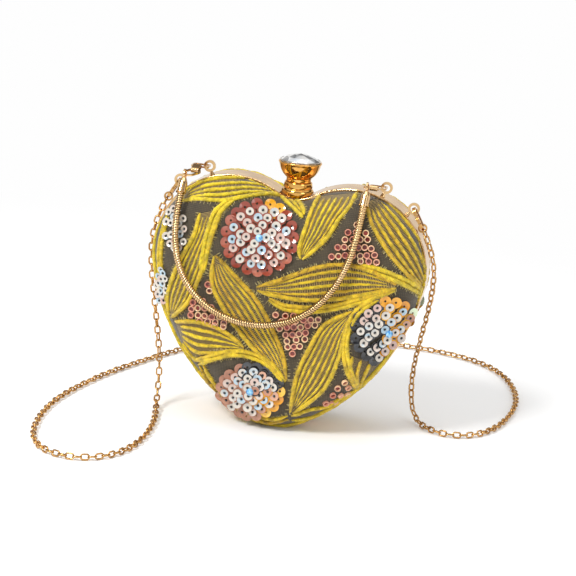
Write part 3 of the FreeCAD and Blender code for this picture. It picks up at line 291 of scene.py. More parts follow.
class PurseSizes(bpy.types.PropertyGroup):
    """Sizes of the trim, and the strength of the lamps."""
    cord: FloatProperty(
        name="Cord", description="Width of an embroidered cord", unit="LENGTH", default=2.5 * MM)
    sequin: FloatProperty(
        name="Sequin", description="Radius of a white sequin", unit="LENGTH", default=2.45 * MM)
    bead: FloatProperty(
        name="Bead", description="Radius of a tube bead", unit="LENGTH", default=1.9 * MM)
    link_length: FloatProperty(
        name="Link length", description="Chain link, end to end", unit="LENGTH", default=5.6 * MM)
    link_width: FloatProperty(
        name="Link width", description="Chain link, across", unit="LENGTH", default=4.0 * MM)
    link_wire: FloatProperty(
        name="Link wire", description="Wire of a chain link", unit="LENGTH", default=1.05 * MM)
    rib: FloatProperty(
        name="Rib", description="Spacing of the snake chain's ribs", unit="LENGTH", default=1.35 * MM)
    lamp: FloatProperty(
        name="Lamps", description="Share of the usual lamp power", subtype="FACTOR", default=1.0)


def colours():
    """The scene's colour settings."""
    return bpy.context.scene.purse_colours


def sizes():
    """The scene's size settings."""
    return bpy.context.scene.purse_sizes


# Materials

def linear(colour):
    """Linear colour of an sRGB hex value or triple."""
    if isinstance(colour, str):
        colour = [int(colour[place:place + 2], 16) / 255 for place in (1, 3, 5)]
    parts = [part / 12.92 if part <= 0.04045 else ((part + 0.055) / 1.055) ** 2.4 for part in colour]
    return (*parts, 1.0)


def scaled(colour, *shares):
    """A colour with all its parts, or each of them, taken at a share."""
    return tuple(part * share for part, share in zip(colour, shares * (3 // len(shares))))


def node(tree, kind, sockets=(), stops=(), **settings):
    """Add a node and give its outputs: sockets take a source or a value, stops fill a colour ramp."""
    made = tree.nodes.new("ShaderNode" + kind)
    for name, value in settings.items():
        setattr(made, name, value)
    for socket, value in dict(sockets).items():
        if isinstance(value, bpy.types.NodeSocket):
            tree.links.new(value, made.inputs[socket])
        else:
            made.inputs[socket].default_value = value
    if stops:
        elements = made.color_ramp.elements
        while len(elements) < len(stops):
            elements.new(1.0)
        for element, (place, colour) in zip(elements, stops):
            element.position = place
            element.color = linear(colour)
    return made.outputs


def new_material(name, **sockets):
    """A material, its tree, its shader with the given values, and the piece's own coordinates."""
    made = bpy.data.materials.new(name)
    made.use_nodes = True
    tree = made.node_tree
    shader = tree.nodes["Principled BSDF"]
    for socket, value in sockets.items():
        shader.inputs[socket.replace("_", " ")].default_value = value
    return made, tree, shader, node(tree, "TexCoord")["Object"]


def dress(tree, shader, colour, height=None, strength=0.0, depth=0.0):
    """Link a colour and, where a height is given, relief of a depth in metres."""
    tree.links.new(colour, shader.inputs["Base Color"])
    if height is not None:
        relief = node(tree, "Bump", {"Height": height, "Strength": strength, "Distance": depth})
        tree.links.new(relief["Normal"], shader.inputs["Normal"])


def plated_metal(name, colour, roughness, wear):
    """Plate on polished brass: mirror-like, hazed by polishing, and darker where handling wears it."""
    made, tree, shader, place = new_material(name, Metallic=1.0)
    haze_patch, polish_grit = 11.1 * MM, 1.11 * MM
    haze = node(tree, "TexNoise", {"Vector": place, "Scale": 1 / haze_patch, "Detail": 3.0})["Fac"]
    fine = node(tree, "TexNoise", {"Vector": place, "Scale": 1 / polish_grit, "Detail": 2.0})["Fac"]
    tint = node(tree, "ValToRGB", {"Fac": haze}, [(0.35, scaled(colour, *wear)), (0.62, colour)])["Color"]
    gloss = node(tree, "MapRange", {"Value": fine, "To Min": roughness * 0.7, "To Max": roughness * 1.4})
    tree.links.new(gloss["Result"], shader.inputs["Roughness"])
    dress(tree, shader, tint, fine, 0.05, 0.02 * MM)
    return made


def fine_grained(name, grain_width, stops, strength, depth, **sockets):
    """A plain material whose fine grain shifts its colour and stands up a little."""
    made, tree, shader, place = new_material(name, **sockets)
    grain = node(tree, "TexNoise", {"Vector": place, "Scale": 1 / grain_width, "Detail": 2.0})["Fac"]
    colour = node(tree, "ValToRGB", {"Fac": grain}, stops)["Color"]
    dress(tree, shader, colour, grain, strength, depth)
    return made


def spring_steel():
    """Drawn steel of the hidden latch: grey, with fine draw marks."""
    return fine_grained("drawn_steel", 0.714 * MM, [(0.3, "#8d8e92"), (0.7, "#b9babd")], 0.1, 0.02 * MM,
                        Metallic=1.0, Roughness=0.32)


def moulded_shell():
    """Moulded ABS of the shells: dark, matt, with a fine spark-eroded grain."""
    return fine_grained("moulded_abs", 0.667 * MM, [(0.3, "#1d1a16"), (0.7, "#2a2620")], 0.2, 0.05 * MM,
                        Roughness=0.55)


def ground_cloth():
    """Taupe plain-weave ground: threads of about 0.5 mm, drawn at 0.9 mm so that they show, with slubs."""
    made, tree, shader, place = new_material("plain_weave_taupe", Roughness=0.8, Sheen_Weight=0.25)
    thread_spacing, slub_length, steep = 0.9 * MM, 6.25 * MM, 0.7
    spot = node(tree, "SeparateXYZ", {"Vector": place})
    facing = node(tree, "SeparateXYZ", {"Vector": node(tree, "TexCoord")["Normal"]})
    # On a wall the weave is measured by depth, so that it turns with the cloth
    turned = {}
    for axis in ("X", "Z"):
        slope = node(tree, "Math", {0: facing[axis]}, operation="ABSOLUTE")[0]
        wall = node(tree, "Math", {0: slope, 1: steep}, operation="GREATER_THAN")[0]
        turned[axis] = node(tree, "Mix", {0: wall, 2: spot[axis], 3: spot["Y"]})[0]
    laid = node(tree, "CombineXYZ", turned)[0]
    threads = {"Vector": laid, "Scale": 1 / thread_spacing / WAVE_BANDS, "Distortion": 1.2, "Detail": 1.0,
               "Detail Scale": 2.0}
    warp, weft = (node(tree, "TexWave", threads, bands_direction=axis)["Fac"] for axis in ("X", "Z"))
    weave = node(tree, "Math", {0: warp, 1: weft}, operation="MULTIPLY")[0]
    slub = node(tree, "TexNoise", {"Vector": laid, "Scale": 1 / slub_length, "Detail": 4.0})["Fac"]
    mixed = node(tree, "Math", {0: weave, 1: slub}, operation="ADD")[0]
    cloth = tuple(colours().cloth)
    shades = [(0.25, scaled(cloth, 0.62)), (0.7, cloth), (1.0, scaled(cloth, 1.28))]
    colour = node(tree, "ValToRGB", {"Fac": mixed}, shades)["Color"]
    dress(tree, shader, colour, weave, 0.6, 0.25 * MM)
    return made


def windings(tree, mottle, pitch, waver):
    """Thread wound across a cord at a pitch: 0 to 1 over each turn, which wavers with the mottle."""
    run = node(tree, "Attribute", attribute_name="run")["Fac"]
    turns = node(tree, "Math", {0: run, 1: 2 * math.pi / pitch}, operation="MULTIPLY")[0]
    uneven = node(tree, "Math", {0: mottle, 1: waver, 2: turns}, operation="MULTIPLY_ADD")[0]
    wave = node(tree, "Math", {0: uneven}, operation="SINE")[0]
    return node(tree, "MapRange", {"Value": wave, "From Min": -1.0, "From Max": 1.0})["Result"]


def cord_thread():
    """Rayon chenille cord: satin, wound with thread of about 0.4 mm, drawn at 0.75 mm so that it shows."""
    made, tree, shader, place = new_material("rayon_cord_yellow", Roughness=0.5, Sheen_Weight=0.15)
    thread_pitch, mottle_patch, blotch_patch = 0.75 * MM, 2.38 * MM, 3.85 * MM
    mottle = node(tree, "TexNoise", {"Vector": place, "Scale": 1 / mottle_patch, "Detail": 4.0,
                                     "Roughness": 0.65})["Fac"]
    blotches = node(tree, "TexNoise", {"Vector": place, "Scale": 1 / blotch_patch, "Detail": 5.0,
                                   "Roughness": 0.7})["Fac"]
    thread = windings(tree, mottle, thread_pitch, 7.0)
    tone = node(tree, "Attribute", attribute_name="tone")["Fac"]
    shift = node(tree, "Math", {0: mottle, 1: 0.75, 2: tone}, operation="MULTIPLY_ADD")[0]
    gold, lemon = tuple(colours().gold), tuple(colours().lemon)
    between = tuple((first + second) / 2 for first, second in zip(lemon, gold))
    hue = node(tree, "ValToRGB", {"Fac": shift}, [(0.38, lemon), (0.74, between), (0.92, gold),
                                                  (1.0, scaled(gold, 0.55))])["Color"]
    # Random blotches take the cords' colour down to 0.62 and up to 1.14 of itself.
    dim = node(tree, "MapRange", {"Value": blotches, "From Min": 0.38, "From Max": 0.58, "To Min": 0.62,
                                  "To Max": 1.14})["Result"]
    wind = node(tree, "MapRange", {"Value": thread, "To Min": 0.74, "To Max": 1.0})["Result"]
    shade = node(tree, "Math", {0: dim, 1: wind}, operation="MULTIPLY")[0]
    colour = node(tree, "Mix", {0: 1.0, 6: hue, 7: shade}, data_type="RGBA", blend_type="MULTIPLY")[2]
    dress(tree, shader, colour, thread, 0.9, 0.3 * MM)
    return made


def couching():
    """Couched filling between the cords: tan thread in stitches of 1.1 mm, with near-black between them as
    painted shade in the slots between the cords.
    """
    made, tree, shader, place = new_material("couched_tan_thread", Roughness=0.65, Sheen_Weight=0.2)
    stitch_pitch, mottle_patch = 1.1 * MM, 2.0 * MM
    mottle = node(tree, "TexNoise", {"Vector": place, "Scale": 1 / mottle_patch, "Detail": 3.0})["Fac"]
    stitch = windings(tree, mottle, stitch_pitch, 5.0)
    # Tan on the stitches is the thread's own colour; the near-black and dark brown between them are painted
    # shade in the slots between the cords.
    colour = node(tree, "ValToRGB", {"Fac": stitch}, [(0.4, "#0c0905"), (0.66, "#2c210c"),
                                                      (0.88, "#c2a35a")])["Color"]
    dress(tree, shader, colour, stitch, 0.8, 0.25 * MM)
    return made


def lustred(name, stops, unevenness):
    """Vacuum-coated PET film or lustred glass: glossy, its colour shifting between and within pieces."""
    made, tree, shader, place = new_material(name, Roughness=0.16, Coat_Weight=0.8, Coat_Roughness=0.05)
    lustre_patch = 3.03 * MM
    patch = node(tree, "TexNoise", {"Vector": place, "Scale": 1 / lustre_patch, "Detail": 1.0})["Fac"]
    tone = node(tree, "Attribute", attribute_name="tone")["Fac"]
    shift = node(tree, "Math", {0: patch, 1: unevenness, 2: tone}, operation="MULTIPLY_ADD")[0]
    dress(tree, shader, node(tree, "ValToRGB", {"Fac": shift}, stops)["Color"])
    return made


def mottled(name, low, high, roughness, patch_width):
    """Small glossy trim, such as glass seed beads, or loose fibre, with uneven colour."""
    made, tree, shader, place = new_material(name, Roughness=roughness, Coat_Weight=0.5)
    patch = node(tree, "TexNoise", {"Vector": place, "Scale": 1 / patch_width, "Detail": 2.0})["Fac"]
    dress(tree, shader, node(tree, "ValToRGB", {"Fac": patch}, [(0.35, low), (0.65, high)])["Color"])
    return made


def foiled_crystal():
    """Foil-backed lead glass: clear facets that flash white and grey."""
    made, tree, shader = new_material("foiled_lead_glass", Metallic=0.75, Roughness=0.05, IOR=1.6,
                                      Coat_Weight=1.0, Coat_Roughness=0.02)[:3]
    tone = node(tree, "Attribute", attribute_name="tone")["Fac"]
    flashes = [(0.0, "#b9bfc6"), (0.5, "#e6eaee"), (1.0, "#ffffff")]
    dress(tree, shader, node(tree, "ValToRGB", {"Fac": tone}, flashes)["Color"])
    return made


def satin_lining():
    """Acetate satin lining: warm taupe, with floats about 0.95 mm apart that shine along the bag's width."""
    made, tree, shader, place = new_material("acetate_satin", Roughness=0.35, Sheen_Weight=0.4)
    float_spacing = 0.947 * MM
    floats = node(tree, "TexWave", {"Vector": place, "Scale": 1 / float_spacing / WAVE_BANDS,
                                    "Distortion": 2.0, "Detail": 2.0}, bands_direction="Z")["Fac"]
    colour = node(tree, "ValToRGB", {"Fac": floats}, [(0.2, "#a08e6c"), (0.8, "#ab9974")])["Color"]
    dress(tree, shader, colour, floats, 0.06, 0.05 * MM)
    return made


def white_table():
    """White laminate table: matt, keeps a soft shadow, and fades to plain white away from the purse."""
    made, tree, shader, place = new_material("white_table", Base_Color=linear("#fdfdfd"), Roughness=0.9,
                                             Specular_IOR_Level=0.1)
    away = node(tree, "VectorMath", {0: place}, operation="LENGTH")["Value"]
    fade = node(tree, "MapRange", {"Value": away, "From Min": FADE_START, "From Max": FADE_END})["Result"]
    glow = node(tree, "Emission", {"Color": linear("#fefefe"), "Strength": 1.0})[0]
    mixed = node(tree, "MixShader", {0: fade, 1: shader.outputs[0], 2: glow})[0]
    tree.links.new(mixed, tree.nodes["Material Output"].inputs["Surface"])
    return made


def white_room():
    """White photo room: plain white to the eye, with pale and dark bands for the metal to mirror."""
    made = bpy.data.worlds.new("white_room")
    made.use_nodes = True
    tree = made.node_tree
    path = node(tree, "LightPath")
    seen = tree.nodes["Background"]
    seen.inputs["Color"].default_value = linear("#ffffff")
    height = node(tree, "SeparateXYZ", {"Vector": node(tree, "TexCoord")["Generated"]})["Z"]
    climb = node(tree, "MapRange", {"Value": height, "From Min": -1.0, "From Max": 1.0})["Result"]
    band = node(tree, "ValToRGB", {"Fac": climb}, ROOM_BANDS)["Color"]
    mirrored_room = node(tree, "Background", {"Color": band, "Strength": 0.95})[0]
    lit = node(tree, "Background", {"Color": linear("#fefefe"), "Strength": 0.66})[0]
    glossy = node(tree, "MixShader", {0: path["Is Glossy Ray"], 1: lit, 2: mirrored_room})[0]
    both = node(tree, "MixShader", {0: path["Is Camera Ray"], 1: glossy, 2: seen.outputs[0]})[0]
    tree.links.new(both, tree.nodes["World Output"].inputs["Surface"])
    return made


# Shaping helpers

def kept(bm, name="part"):
    """A mesh made from a bmesh, which is freed."""
    mesh = bpy.data.meshes.new(name)
    bm.to_mesh(mesh)
    bm.free()
    return mesh


def keep_mesh(bm, name, body, materials, smooth=True, replaced=()):
    """Turn a bmesh into a piece that rides on a body."""
    mesh = kept(bm, name)
    piece = bpy.data.objects.new(name, mesh)
    bpy.context.scene.collection.objects.link(piece)
    for material in materials:
        mesh.materials.append(material)
    if smooth:
        mesh.shade_smooth()
    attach(piece, body)
    if replaced:
        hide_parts(*replaced)
    return piece


def paint(name, material):
    """Give a CAD node its finish."""
    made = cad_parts[name]
    made.data.materials.clear()
    made.data.materials.append(material)


def spline_points(name, route):
    """Points along the smooth line that a route steers, as Blender's own NURBS gives them, in metres."""
    curve = bpy.data.curves.new(name, "CURVE")
    curve.dimensions = "3D"
    spline = curve.splines.new("NURBS")
    spline.points.add(len(route) - 1)
    for point, place in zip(spline.points, route):
        point.co = (*(Vector(place) * MM), 1.0)
    spline.order_u = 3
    spline.use_endpoint_u = True
    spline.resolution_u = 16
    holder = bpy.data.objects.new(name, curve)
    bpy.context.scene.collection.objects.link(holder)
    bpy.context.view_layer.update()
    drawn = holder.evaluated_get(bpy.context.evaluated_depsgraph_get())
    line = bpy.data.meshes.new_from_object(drawn)
    points = [vertex.co.copy() for vertex in line.vertices]
    bpy.data.meshes.remove(line)
    bpy.data.objects.remove(holder)
    bpy.data.curves.remove(curve)
    return points


def paced(points, pitch):
    """Places and directions along a polyline at even steps that divide its length, and that length."""
    runs = [(after - before).length for before, after in zip(points, points[1:])]
    total = sum(runs)
    count = max(1, round(total / pitch))
    found, index, passed = [], 0, 0.0
    for step in range(count + 1):
        goal = total * step / count
        while index < len(runs) - 1 and passed + runs[index] < goal:
            passed += runs[index]
            index += 1
        share = (goal - passed) / runs[index] if runs[index] else 0.0
        place = points[index].lerp(points[index + 1], share)
        found.append((place, (points[index + 1] - points[index]).normalized()))
    return found, total


def turned_to(along, up):
    """Rotation whose Z runs along a direction and whose X lies near up."""
    third = along.normalized()
    first = (up - third * up.dot(third)).normalized()
    second = third.cross(first)
    return Matrix((first, second, third)).transposed().to_4x4()


def edges_of(verts):
    """Edges that meet at some points, each once, in an order that stays the same each run."""
    return list(dict.fromkeys(edge for vert in verts for edge in vert.link_edges))


def add_ring(bm, last, matrix, radius, sides, capped):
    """A circle, bridged to the last ring's edges: its points, its edges and the band of faces."""
    verts = bmesh.ops.create_circle(bm, cap_ends=capped, segments=sides, radius=radius,
                                    matrix=matrix)["verts"]
    edges = edges_of(verts)
    band = bmesh.ops.bridge_loops(bm, edges=last + edges)["faces"] if last else []
    return verts, edges, band


def layered():
    """A bmesh whose points carry a run along the thread and a tone."""
    bm = bmesh.new()
    return bm, bm.verts.layers.float.new("run"), bm.verts.layers.float.new("tone")


def join(bm, small, matrix=None, tone=None, slot=0):
    """Add a small bmesh or mesh to a larger bmesh, placed, toned and with its own material."""
    verts, faces = len(bm.verts), len(bm.faces)
    mesh = kept(small) if isinstance(small, bmesh.types.BMesh) else small
    bm.from_mesh(mesh)
    bm.verts.ensure_lookup_table()
    bm.faces.ensure_lookup_table()
    added = bm.verts[verts:]
    if matrix:
        bmesh.ops.transform(bm, matrix=matrix, verts=added)
    if tone is not None:
        layer = bm.verts.layers.float["tone"]
        for vert in added:
            vert[layer] = tone
    for face in bm.faces[faces:]:
        face.material_index = slot
    if mesh is not small:
        bpy.data.meshes.remove(mesh)


def turned_profile(profile, unit, steps, closed=False):
    """A bmesh spun about Z from a profile of (radius, height) in a unit."""
    bm = layered()[0]
    verts = [bm.verts.new((radius * unit, 0, height * unit)) for radius, height in profile]
    edges = [bm.edges.new(pair) for pair in zip(verts, verts[1:])]
    if closed:
        edges.append(bm.edges.new((verts[-1], verts[0])))
    bmesh.ops.spin(bm, geom=verts + edges, cent=(0, 0, 0), axis=(0, 0, 1), angle=2 * math.pi, steps=steps,
                   use_merge=True)
    bmesh.ops.remove_doubles(bm, verts=bm.verts, dist=MERGE_GAP)
    bmesh.ops.recalc_face_normals(bm, faces=bm.faces)
    return bm


def flank_centre():
    """Middle of the right flank's arc."""
    reach_lobe, reach_tip = FLANK_RADIUS - LOBE_RADIUS, FLANK_RADIUS - TIP_RADIUS
    along = TIP - LOBE
    gap = along.length
    foot = (reach_lobe ** 2 - reach_tip ** 2 + gap ** 2) / (2 * gap)
    aside = math.sqrt(reach_lobe ** 2 - foot ** 2)
    step = along / gap
    return LOBE + step * foot + Vector((step.z, 0, -step.x)) * aside


def cleft_rise():
    """Height of the middle of the cleft's arc over the middles of the lobes."""
    return math.sqrt((LOBE_RADIUS + CLEFT_RADIUS) ** 2 - LOBE.x ** 2)


def heart_loop(bm, inset, depth, side):
    """Edges of the heart's outline, moved in by an inset, at a depth from the parting plane, spun by arcs."""
    rise, flank = cleft_rise(), flank_centre()
    cleft = Vector((0, 0, LOBE.z + rise))

    def bearing(vector):
        return math.atan2(vector.z, vector.x)

    def mirror(place):
        return Vector((-place.x, 0, place.z))

    over, beside, below = bearing(cleft - LOBE), bearing(LOBE - flank), bearing(TIP - flank)
    hollow = math.atan2(LOBE.x, rise)
    arcs = [(cleft, -hollow, 8), (LOBE, over - beside, 22), (flank, beside - below, 16),
            (TIP, 2 * (below + math.pi / 2), 12), (mirror(flank), beside - below, 16),
            (mirror(LOBE), over - beside, 22), (cleft, -hollow, 8)]
    shift = Vector((0, side * depth, 0))
    start = bm.verts.new((Vector((0, 0, cleft.z - CLEFT_RADIUS - inset)) + shift) * MM)
    verts, front = [start], start
    for centre, angle, steps in arcs:
        before = set(bm.verts)
        spun = bmesh.ops.spin(bm, geom=[front], cent=(centre + shift) * MM, axis=(0, 1, 0), angle=angle,
                              steps=steps)
        front = next(item for item in spun["geom_last"] if isinstance(item, bmesh.types.BMVert))
        verts += [vert for vert in bm.verts if vert not in before]
    bmesh.ops.pointmerge(bm, verts=[start, front], merge_co=start.co)
    return edges_of(vert for vert in verts if vert.is_valid)


def dome(bm, lost, side, steps):
    """One layer of a half's dome, less what lies over it: a short wall, a rounded edge and a level face."""
    profile = [(0.0, 0.0), (0.0, WALL)]
    radius = EDGE_RADIUS - lost
    for count in range(1, steps + 1):
        turn = math.pi / 2 * count / steps
        profile.append((radius * (1 - math.cos(turn)), WALL + radius * math.sin(turn)))
    last = None
    for inset, depth in profile:
        edges = heart_loop(bm, RIM_INSET + lost + inset, RIM_DEPTH + depth, side)
        if last:
            bmesh.ops.bridge_loops(bm, edges=last + edges)
        last = edges
    bmesh.ops.holes_fill(bm, edges=last, sides=0)


# Laying things on the cover

def camera_axes():
    """Eye, right, up and back of the photograph's camera."""
    back = Vector((math.sin(AZIMUTH) * math.cos(ELEVATION), -math.cos(AZIMUTH) * math.cos(ELEVATION),
                   math.sin(ELEVATION)))
    level = Vector((math.cos(AZIMUTH), math.sin(AZIMUTH), 0))
    upright = back.cross(level)
    right = level * math.cos(ROLL) + upright * math.sin(ROLL)
    up = upright * math.cos(ROLL) - level * math.sin(ROLL)
    return TARGET + back * DISTANCE, right, up, back


def cover_tree():
    """Search tree of the front cover's cloth."""
    return BVHTree.FromObject(bpy.data.objects["front_cloth"], bpy.context.evaluated_depsgraph_get())


def on_cover(tree, place):
    """Point of the front cover at a place of the cartoon, or the nearest one beyond the outline."""
    eye, right, up, back = camera_axes()
    across = CARTOON_CORNER[0] + place[0] / CARTOON_SCALE - IMAGE_SIDE / 2
    down = CARTOON_CORNER[1] + place[1] / CARTOON_SCALE - IMAGE_SIDE / 2
    aim = (right * across - up * down) / FOCAL_PIXELS - back
    point = tree.ray_cast(eye, aim)[0]
    if point is None:
        point = tree.find_nearest(eye + aim * DISTANCE)[0]
    return point


def smooth(line, steps=8):
    """A line of the cartoon, curved evenly through its points."""
    points = [Vector((*place, 0)) for place in line]
    found = [points[0]]
    for index in range(len(points) - 1):
        start, end = points[index:index + 2]
        before, after = points[max(index - 1, 0)], points[min(index + 2, len(points) - 1)]
        handles = start + (end - before) / 6, end - (after - start) / 6
        found += interpolate_bezier(start, *handles, end, steps)[1:]
    return found


def evenly(points, count):
    """Points at even steps along a polyline."""
    total = sum((after - before).length for before, after in zip(points, points[1:]))
    return [place for place, along in paced(points, total / count)[0]]


def both_halves(bm, name, materials):
    """Keep a front piece, pressed flat where it meets the floor, and its mirror image on the back half."""
    for vert in bm.verts:
        vert.co.z = max(vert.co.z, FLOOR_GAP)
    back = bm.copy()
    bmesh.ops.scale(back, vec=(1, -1, 1), verts=back.verts)
    bmesh.ops.reverse_faces(back, faces=back.faces)
    keep_mesh(bm, "front_" + name, "front_half", materials)
    keep_mesh(back, "back_" + name, "back_half", materials)


def lay_cord(bm, tree, points, width, tone):
    """A couched cord along points of the cover: it swells and wavers, and lies low under the caps."""
    steps, total = paced(points, CORD_STEP)
    if total < CORD_SHORTEST:
        return
    caps = [Vector(HANDLE_ROUTE[0]) * MM, Vector(HANDLE_ROUTE[-1]) * MM]
    places, ups, widths = [], [], []
    beat = rng.uniform(0, 6)
    for count, (point, along) in enumerate(steps):
        foot, normal = tree.find_nearest(point)[:2]
        share = count / (len(steps) - 1)
        local = width(share) if callable(width) else width
        local *= min(1.0, CORD_END_SHARE + CORD_TAPER * min(share, 1 - share)) * rng.uniform(0.92, 1.06)
        passed = total * share
        swell = math.sin(passed / CORD_SWELL + beat) * math.sin(passed / CORD_WAVER)
        local *= 1 + CORD_SWELL_SHARE * swell
        free = min((foot - cap).length for cap in caps) > CAP_REACH
        sway = along.cross(normal) * rng.uniform(-CORD_SWAY, CORD_SWAY)
        places.append(foot + normal * (local * (CORD_RISE_SHARE if free else CORD_SUNK_SHARE)) + sway)
        ups.append(normal)
        widths.append(local)
    small, run, shade = layered()
    squeezed = Matrix.Diagonal((CORD_SQUEEZE_SHARE, 1.0, 1.0, 1.0))
    last, passed = None, 0.0
    for step, (place, up, local) in enumerate(zip(places, ups, widths)):
        before, after = places[max(step - 1, 0)], places[min(step + 1, len(places) - 1)]
        turn = Matrix.Translation(place) @ turned_to(after - before, up) @ squeezed
        ends = step in (0, len(places) - 1)
        ring, last = add_ring(small, last, turn, local / 2, CORD_SIDES, ends)[:2]
        passed += (place - before).length
        for vert in ring:
            vert[run] = passed
            vert[shade] = tone
    bmesh.ops.recalc_face_normals(small, faces=small.faces)
    join(bm, small)


def comb(bm, tree, points, other):
    """Short fibres that stand out from a leaf's edge over the cloth, away from its other edge."""
    steps = paced(points, FIBRE_STEP)[0]
    opposite = evenly(other, len(steps) - 1)
    small = layered()[0]
    for (point, along), across in zip(steps, opposite):
        if rng.random() < FIBRE_LOST_SHARE:
            continue
        foot, normal = tree.find_nearest(point)[:2]
        out = foot - across
        out = (out - normal * out.dot(normal) - along * out.dot(along)).normalized()
        out = (out + along * rng.uniform(-0.35, 0.35)).normalized()
        start = foot + out * FIBRE_ROOT + normal * FIBRE_LIFT
        end = tree.find_nearest(foot + out * rng.uniform(*FIBRE_REACH))[0] + normal * FIBRE_TIP_LIFT
        length = (end - start).length
        if length < FIBRE_SHORTEST:
            continue
        turn = Matrix.Translation((start + end) / 2) @ turned_to(end - start, normal)
        bmesh.ops.create_cone(small, cap_ends=True, segments=3, radius1=FIBRE_THICK, radius2=FIBRE_THIN,
                              depth=length, matrix=turn)
    join(bm, small, slot=FIBRE_SLOT)


def fill_leaf(bm, tree, first_edge, second_edge):
    """Couched filling between a leaf's two edges, just over the cloth."""
    small, run = layered()[:2]
    bmesh.ops.create_grid(small, x_segments=LEAF_ROWS, y_segments=FILLING_ROWS, size=0.5)
    for vert in small.verts:
        along, beside = vert.co.x + 0.5, vert.co.y + 0.5
        spot = round(along * LEAF_ROWS)
        vert[run] = LEAF_RUN * along
        point = on_cover(tree, first_edge[spot].lerp(second_edge[spot], beside))
        foot, normal = tree.find_nearest(point)[:2]
        vert.co = foot + normal * FILLING_LIFT
    bmesh.ops.recalc_face_normals(small, faces=small.faces)
    join(bm, small)


def lay_leaf(cords, fills, tree, edges, inner, tone):
    """One leaf: filling, a cord and a comb of fibres along each edge, and cords between them."""
    first_edge, second_edge = (evenly(smooth(edge), LEAF_ROWS) for edge in edges)

    def across(share):
        """Line over the cover, at a share of the way from one edge to the other."""
        return [on_cover(tree, first.lerp(second, share)) for first, second in zip(first_edge, second_edge)]

    if inner:
        fill_leaf(fills, tree, first_edge, second_edge)
    left, right = across(0.0), across(1.0)
    lay_cord(cords, tree, left, sizes().cord, tone)
    lay_cord(cords, tree, right, sizes().cord, tone * SECOND_TONE_SHARE)
    comb(cords, tree, left, right)
    comb(cords, tree, right, left)

    def width(share):
        """Width of an inner cord where there is only so much room."""
        spot = min(LEAF_ROWS, round(LEAF_ENDS + share * (LEAF_ROWS - 2 * LEAF_ENDS)))
        room = (left[spot] - right[spot]).length / (inner + 1)
        return max(CORD_THINNEST, min(sizes().cord * 0.9, room * 0.5))

    for count in range(inner):
        middle = across((count + 1) / (inner + 1))[LEAF_ENDS:-LEAF_ENDS]
        inner_tone = tone * INNER_TONE_SHARE + INNER_TONE_ADDED + rng.uniform(-0.1, 0.12)
        lay_cord(cords, tree, middle, width, inner_tone)


def sewn(tree, middle, offset, lean, lift, out):
    """Place of a sequin at an offset from its flower's middle, leant outwards and partly towards the eye."""
    spot = (middle[0] + offset[0], middle[1] + offset[1])
    foot, normal = tree.find_nearest(on_cover(tree, spot))[:2]
    centre = tree.find_nearest(on_cover(tree, middle))[0]
    away = foot - centre
    away = away - normal * away.dot(normal)
    if away.length < MIDDLE_REACH:
        away = normal.orthogonal()
    away.normalize()
    axis = (normal - away * math.tan(math.radians(lean))).normalized()
    axis = axis.lerp(camera_axes()[3], EYE_SHARE).normalized()
    tilt = math.sqrt(max(0.0, 1 - axis.dot(normal) ** 2))
    lift += TILT_LIFT_SHARE * sizes().sequin * tilt
    return Matrix.Translation(foot + normal * lift + away * out) @ turned_to(axis, away)


def petal_film(kind, turn, share):
    """Film of the petal under a white sequin, by its turn round the flower and its share of the way out."""
    arcs, rest = PETALS[kind]
    for start, span, least, film in arcs:
        if (math.degrees(turn) - start) % 360 < span and share > least:
            return film
    return rest


# Operators, one for each group of pieces

class PURSE_OT_stage(bpy.types.Operator):
    """Camera, white floor, surroundings and lamps"""
    bl_idname = "purse.stage"
    bl_label = "Stage"

    def execute(self, context):
        scene = context.scene
        eye, right, up, back = camera_axes()
        lens = bpy.data.cameras.new("camera")
        lens.sensor_width = SENSOR
        lens.lens = FOCAL_PIXELS / IMAGE_SIDE * SENSOR
        lens.clip_start = NEAREST
        camera = bpy.data.objects.new("camera", lens)
        turn = Matrix((right, up, back)).transposed().to_4x4()
        camera.matrix_world = Matrix.Translation(eye) @ turn
        scene.collection.objects.link(camera)
        scene.camera = camera

        bm = bmesh.new()
        bmesh.ops.create_circle(bm, cap_ends=True, segments=64, radius=FLOOR_RADIUS)
        mesh = kept(bm, "floor")
        floor = bpy.data.objects.new("floor", mesh)
        scene.collection.objects.link(floor)
        mesh.materials.append(white_table())
        scene.world = white_room()

        for name, place, size, power in LAMPS:
            light = bpy.data.lights.new(name, "AREA")
            light.size = size
            light.energy = power * sizes().lamp
            lamp = bpy.data.objects.new(name, light)
            lamp.location = place
            lamp.rotation_euler = (Vector(place) - TARGET).to_track_quat("Z", "Y").to_euler()
            scene.collection.objects.link(lamp)
        scene.view_settings.view_transform = "Standard"
        return {"FINISHED"}


